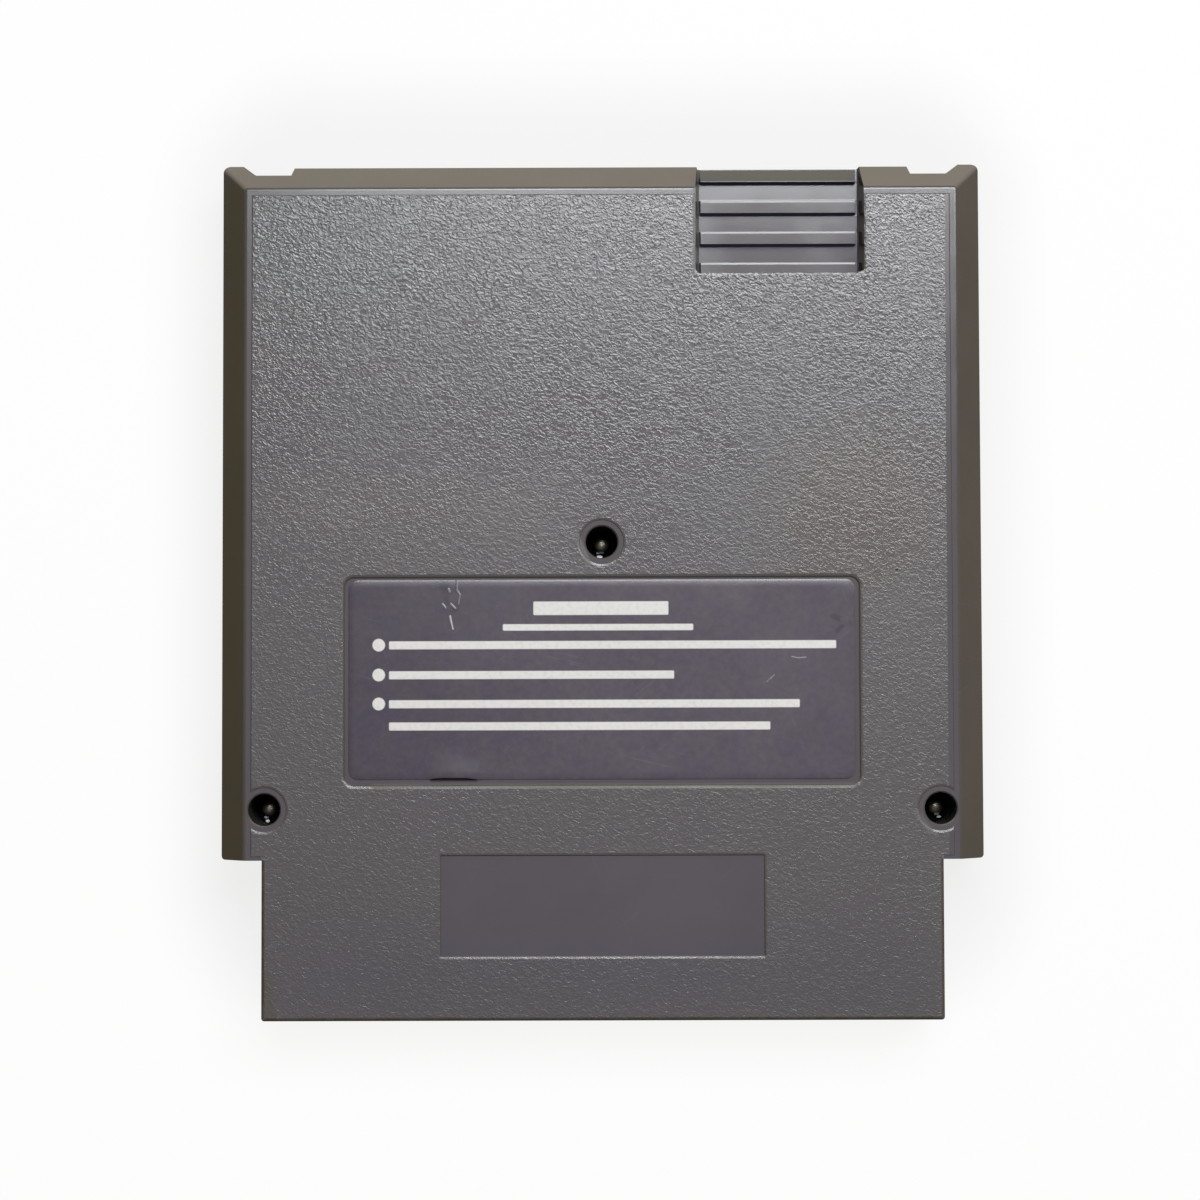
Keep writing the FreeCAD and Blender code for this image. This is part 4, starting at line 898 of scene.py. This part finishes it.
def loose_sheet(settings):
    """Rear label: a thin sheet with round corners, slow waves and a lower edge that has come loose."""
    centre = (LABEL_LOW + LABEL_HIGH) / 2
    level = LABEL_LOW.z + settings.thickness + settings.wave + settings.droop
    bpy.ops.object.select_all(action="DESELECT")
    bpy.ops.mesh.primitive_plane_add(size=1.0, location=(centre.x, centre.y, level))
    bpy.context.object.scale = (LABEL_HIGH.x - LABEL_LOW.x, LABEL_HIGH.y - LABEL_LOW.y, 1.0)
    piece = start_piece("rear_label_sheet")
    bpy.ops.object.mode_set(mode="EDIT")
    bpy.ops.mesh.select_all(action="SELECT")
    bpy.ops.mesh.bevel(offset=settings.corner, segments=7, affect="VERTICES")
    rim = settings.rim
    columns = steps(LABEL_LOW.x, LABEL_HIGH.x, SHEET_PITCH) + [LABEL_LOW.x + rim, LABEL_HIGH.x - rim]
    columns += [place * MM for gap in LABEL_GAP for place in (gap - 0.5, gap + 0.5)]
    rows = steps(LABEL_LOW.y, LABEL_HIGH.y, SHEET_PITCH) + [LABEL_LOW.y + rim, LABEL_HIGH.y - rim]
    cuts = [((x, 0, 0), (1, 0, 0)) for x in columns] + [((0, y, 0), (0, 1, 0)) for y in rows]
    for point, normal in cuts:
        bpy.ops.mesh.select_all(action="SELECT")
        bpy.ops.mesh.bisect(plane_co=point, plane_no=normal)
    bpy.ops.mesh.select_all(action="DESELECT")
    bpy.ops.mesh.select_non_manifold()
    bpy.ops.transform.translate(value=(0, 0, -settings.droop))
    edge = LABEL_LOW.y + EDGE_DEPTH
    gap_low, gap_high = (place * MM for place in LABEL_GAP)
    move_vertices(
        piece, lambda place: place.y < edge and gap_low + GAP_INSET < place.x < gap_high - GAP_INSET,
        (0, settings.drawn, 0), DRAW_REACH,
    )
    edge += settings.drawn
    for x, reach, amount in LABEL_LIFTS:
        move_vertices(
            piece, lambda place: place.y < edge and abs(place.x - x * MM) < LIFT_HALF,
            (0, 0, settings.lift * amount), reach * MM,
        )
    bpy.ops.object.mode_set(mode="OBJECT")
    clouds = bpy.data.textures.new("label waves", "CLOUDS")
    clouds.noise_scale = WAVE_SIZE
    clouds.noise_depth = 1
    waves = piece.modifiers.new("waves", "DISPLACE")
    waves.texture = clouds
    waves.texture_coords = "LOCAL"
    waves.direction = "Z"
    waves.strength = settings.wave
    bpy.ops.object.modifier_apply(modifier=waves.name)
    paper = piece.modifiers.new("paper", "SOLIDIFY")
    paper.thickness = settings.thickness
    paper.offset = -1.0
    paper.material_offset_rim = 1
    piece.data.materials.append(label_ink(settings).material)
    piece.data.materials.append(label_paper(settings).material)
    bpy.ops.object.modifier_apply(modifier=paper.name)
    bpy.ops.object.shade_smooth_by_angle(angle=math.radians(40))
    return piece


# Operators, one for each piece or group of like pieces.


class CARTRIDGE_OT_case(bpy.types.Operator):
    """Finish the rear and front shells in grained grey plastic"""

    bl_idname = "cartridge.case"
    bl_label = "Case Shells"

    def execute(self, context):
        finish = case_plastic(context.scene.cartridge_case)
        for node in ("rear_shell", "front_shell"):
            paint(node, finish)
        return {"FINISHED"}


class CARTRIDGE_OT_screws(bpy.types.Operator):
    """Finish the three case screws in tarnished steel"""

    bl_idname = "cartridge.screws"
    bl_label = "Case Screws"

    def execute(self, context):
        paint("case_screws", screw_steel(context.scene.cartridge_screws))
        return {"FINISHED"}


class CARTRIDGE_OT_rear_label(bpy.types.Operator):
    """Model the loose paper label in the rear bed"""

    bl_idname = "cartridge.rear_label"
    bl_label = "Rear Label"

    def execute(self, context):
        piece = loose_sheet(context.scene.cartridge_labels)
        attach(piece, "root")
        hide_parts("rear_label")
        return {"FINISHED"}


class CARTRIDGE_OT_front_label(bpy.types.Operator):
    """Finish the plain front label"""

    bl_idname = "cartridge.front_label"
    bl_label = "Front Label"

    def execute(self, context):
        paint("front_label", front_label_print(context.scene.cartridge_labels))
        return {"FINISHED"}


class CARTRIDGE_OT_board(bpy.types.Operator):
    """Finish the circuit board and its plated contacts"""

    bl_idname = "cartridge.board"
    bl_label = "Board and Contacts"

    def execute(self, context):
        settings = context.scene.cartridge_board
        paint("circuit_board", board_laminate(settings))
        plating = contact_plating(settings)
        for node in ("contacts_rear", "contacts_front"):
            paint(node, plating)
        return {"FINISHED"}


class CARTRIDGE_OT_chips(bpy.types.Operator):
    """Finish the chips and all tinned pins and leads"""

    bl_idname = "cartridge.chips"
    bl_label = "Chips and Pins"

    def execute(self, context):
        settings = context.scene.cartridge_board
        moulding = cloudy_finish(
            "chip moulding", shades(settings.moulding, 1.5), (0.48, 0.62), 700.0, 0.006, IOR=1.55)
        tinned = cloudy_finish(
            "tinned lead", shades(settings.tin, 0.75), (0.25, 0.42), 900.0, 0.003, Metallic=1.0)
        for chip in ("program_rom", "graphics_rom", "lockout_chip"):
            paint(chip, moulding)
            paint(f"{chip}_pins", tinned)
        for node in ("bulk_capacitor_leads", "bypass_capacitor_leads"):
            paint(node, tinned)
        return {"FINISHED"}


class CARTRIDGE_OT_capacitors(bpy.types.Operator):
    """Finish the wet capacitor and the two bypass capacitors"""

    bl_idname = "cartridge.capacitors"
    bl_label = "Capacitors"

    def execute(self, context):
        settings = context.scene.cartridge_board
        paint("bulk_capacitor_can", cloudy_finish(
            "can aluminium", shades(settings.aluminium, 0.85), (0.22, 0.35), 500.0, 0.002,
            Metallic=1.0))
        paint("bulk_capacitor_sleeve", cloudy_finish(
            "sleeve film", shades(settings.sleeve, 1.3), (0.22, 0.34), 400.0, 0.003, IOR=1.5))
        paint("bulk_capacitor_seal", cloudy_finish(
            "seal rubber", shades(settings.rubber, 1.4), (0.62, 0.78), 900.0, 0.008))
        paint("bypass_capacitors", cloudy_finish(
            "bypass resin", shades(settings.resin, 0.8), (0.25, 0.40), 600.0, 0.008, IOR=1.55))
        return {"FINISHED"}


class CARTRIDGE_OT_stage(bpy.types.Operator):
    """Set the pale floor, the soft light and the camera above the rear face"""

    bl_idname = "cartridge.stage"
    bl_label = "Stage"

    def execute(self, context):
        settings = context.scene.cartridge_stage
        floor_sheet(settings)
        light_panel(settings)
        surroundings()
        overhead_camera(settings)
        view = context.scene.view_settings
        view.view_transform = "Standard"
        view.look = "None"
        return {"FINISHED"}


FLOOR_SIZE = 8.0
FLOOR_LEVEL = -0.05 * MM
# Soft shade of the floor round the case: its shift from the case's middle, how far it passes the case,
# its corner, its soft rim and its share of the floor's brightness.
SHADE_SHIFT = Vector((0.0, 8.0, 0.0)) * MM
SHADE_MARGIN = Vector((7.0, 7.0, 0.0)) * MM
SHADE_CORNER = 20.0 * MM
SHADE_SOFT = 9.0 * MM
SHADE_SHARE = 0.90


def floor_sheet(settings):
    """Wide pale floor just under the case."""
    bpy.ops.object.select_all(action="DESELECT")
    bpy.ops.mesh.primitive_plane_add(size=FLOOR_SIZE, location=(0, 0, FLOOR_LEVEL))
    floor = start_piece("floor")
    finish = Finish("pale floor", Roughness=0.9)
    nodes = finish.nodes
    cloud = nodes.noise(finish.place, 6.0, detail=3.0)
    lit = 1.0 - settings.floor_glow
    finish.set("Base Color", nodes.mix(cloud, *shades([lit * part for part in settings.floor], 0.95)))
    finish.set("Specular IOR Level", 0.0)
    middle = (CAD_BOX[0] + CAD_BOX[1]) / 2 + SHADE_SHIFT
    half = (CAD_BOX[1] - CAD_BOX[0]) / 2 + SHADE_MARGIN
    near = finish.bar(tuple(middle), tuple(half), SHADE_CORNER, SHADE_SOFT)
    finish.set("Emission Color", nodes.mix(near, *shades(settings.floor, SHADE_SHARE)))
    finish.set("Emission Strength", settings.floor_glow)
    floor.data.materials.append(finish.material)
    floor.visible_diffuse = False
    floor.visible_glossy = False


PANEL_COLOUR = (0.935, 0.975, 1.0)


def light_panel(settings):
    """Broad panel above and beyond the top edge of the case, facing straight down."""
    height = settings.panel_height
    near = height * math.tan(settings.panel_near)
    far = height * math.tan(settings.panel_far)
    left = -height * math.tan(settings.panel_left)
    right = height * math.tan(settings.panel_right)
    bpy.ops.object.select_all(action="DESELECT")
    middle = ((left + right) / 2, (near + far) / 2, height)
    bpy.ops.object.light_add(type="AREA", location=middle)
    panel = bpy.context.object
    panel.name = "light_panel"
    panel.data.shape = "RECTANGLE"
    panel.data.size = right - left
    panel.data.size_y = far - near
    panel.data.energy = settings.panel_power
    panel.data.color = PANEL_COLOUR


ROOM_LEFT = (0.06, 0.04, 0.02)
ROOM_RIGHT = (0.22, 0.16, 0.09)
ROOM_BEYOND = (1.52, 1.34, 1.08)
ROOM_UPPER = (0.10, 0.10, 0.10)
ROOM_OVERHEAD = (0.46, 0.43, 0.88)
DARK, WHITE = (0.0, 0.0, 0.0), (1.0, 1.0, 1.0)


def surroundings():
    """Dim warm room, lighter beyond the top edge of the case, darkest on the left and cool overhead."""
    world = bpy.data.worlds.new("room")
    bpy.context.scene.world = world
    world.use_nodes = True
    nodes = Nodes(world.node_tree)
    background = world.node_tree.nodes["Background"]
    x, y, z = nodes.axes(nodes.add("ShaderNodeTexCoord").outputs["Generated"])
    sideways = nodes.mix(nodes.ramp(x, -0.9, 0.9), ROOM_LEFT, ROOM_RIGHT)
    lit = nodes.mix(nodes.ramp(y, 0.15, 0.95), sideways, ROOM_BEYOND)
    upper = nodes.mix(nodes.ramp(z, 0.12, 0.5), lit, ROOM_UPPER)
    overhead = nodes.mix(nodes.ramp(z, 0.93, 0.985), upper, ROOM_OVERHEAD)
    glow = nodes.mix(nodes.ramp(y, 0.06, 0.19), DARK, WHITE)
    spread = nodes.vector("SCALE", glow, scale=nodes.ramp(z, 0.93, 0.975))
    nodes.feed(background.inputs["Color"], nodes.vector("ADD", overhead, spread))
    background.inputs["Strength"].default_value = 1.0


SENSOR_WIDTH = 36.0
CAMERA_PLACE = Vector((0.397, -19.459, 437.0)) * MM
CAMERA_TURNS = ((2.390, "X"), (0.0925, "Y"), (-0.168, "Z"))


def overhead_camera(settings):
    """Camera that looks down on the rear face, tipped a little towards its top edge."""
    data = bpy.data.cameras.new("overhead_camera")
    camera = bpy.data.objects.new("overhead_camera", data)
    bpy.context.scene.collection.objects.link(camera)
    data.sensor_width = SENSOR_WIDTH
    data.lens = settings.lens
    data.clip_start = 0.01
    pose = Matrix.Translation(CAMERA_PLACE)
    for degrees, axis in CAMERA_TURNS:
        pose = pose @ Matrix.Rotation(math.radians(degrees), 4, axis)
    camera.matrix_world = pose
    bpy.context.scene.camera = camera


STEPS = (
    CARTRIDGE_OT_stage,
    CARTRIDGE_OT_case,
    CARTRIDGE_OT_screws,
    CARTRIDGE_OT_rear_label,
    CARTRIDGE_OT_front_label,
    CARTRIDGE_OT_board,
    CARTRIDGE_OT_chips,
    CARTRIDGE_OT_capacitors,
)


class CARTRIDGE_PT_steps(bpy.types.Panel):
    """Lists the pieces of the cartridge"""

    bl_idname = "CARTRIDGE_PT_steps"
    bl_label = "Game Cartridge"
    bl_space_type = "VIEW_3D"
    bl_region_type = "UI"
    bl_category = "Cartridge"

    def draw(self, context):
        for step in STEPS:
            self.layout.operator(step.bl_idname)
        for name in SETTINGS:
            group = getattr(context.scene, name)
            column = self.layout.box().column()
            column.label(text=group.bl_rna.description)
            for key in SETTINGS[name].__annotations__:
                column.prop(group, key)


SETTINGS = {
    "cartridge_case": CaseFinish,
    "cartridge_screws": ScrewFinish,
    "cartridge_labels": LabelFinish,
    "cartridge_board": BoardFinish,
    "cartridge_stage": StageSettings,
}
CLASSES = (*SETTINGS.values(), *STEPS, CARTRIDGE_PT_steps)


def register():
    for item in CLASSES:
        bpy.utils.register_class(item)
    for name, group in SETTINGS.items():
        setattr(bpy.types.Scene, name, PointerProperty(type=group))


def unregister():
    for name in SETTINGS:
        delattr(bpy.types.Scene, name)
    for item in reversed(CLASSES):
        bpy.utils.unregister_class(item)


def main():
    register()
    for step in STEPS:
        family, name = step.bl_idname.split(".")
        getattr(getattr(bpy.ops, family), name)()


if __name__ == "__main__":
    main()
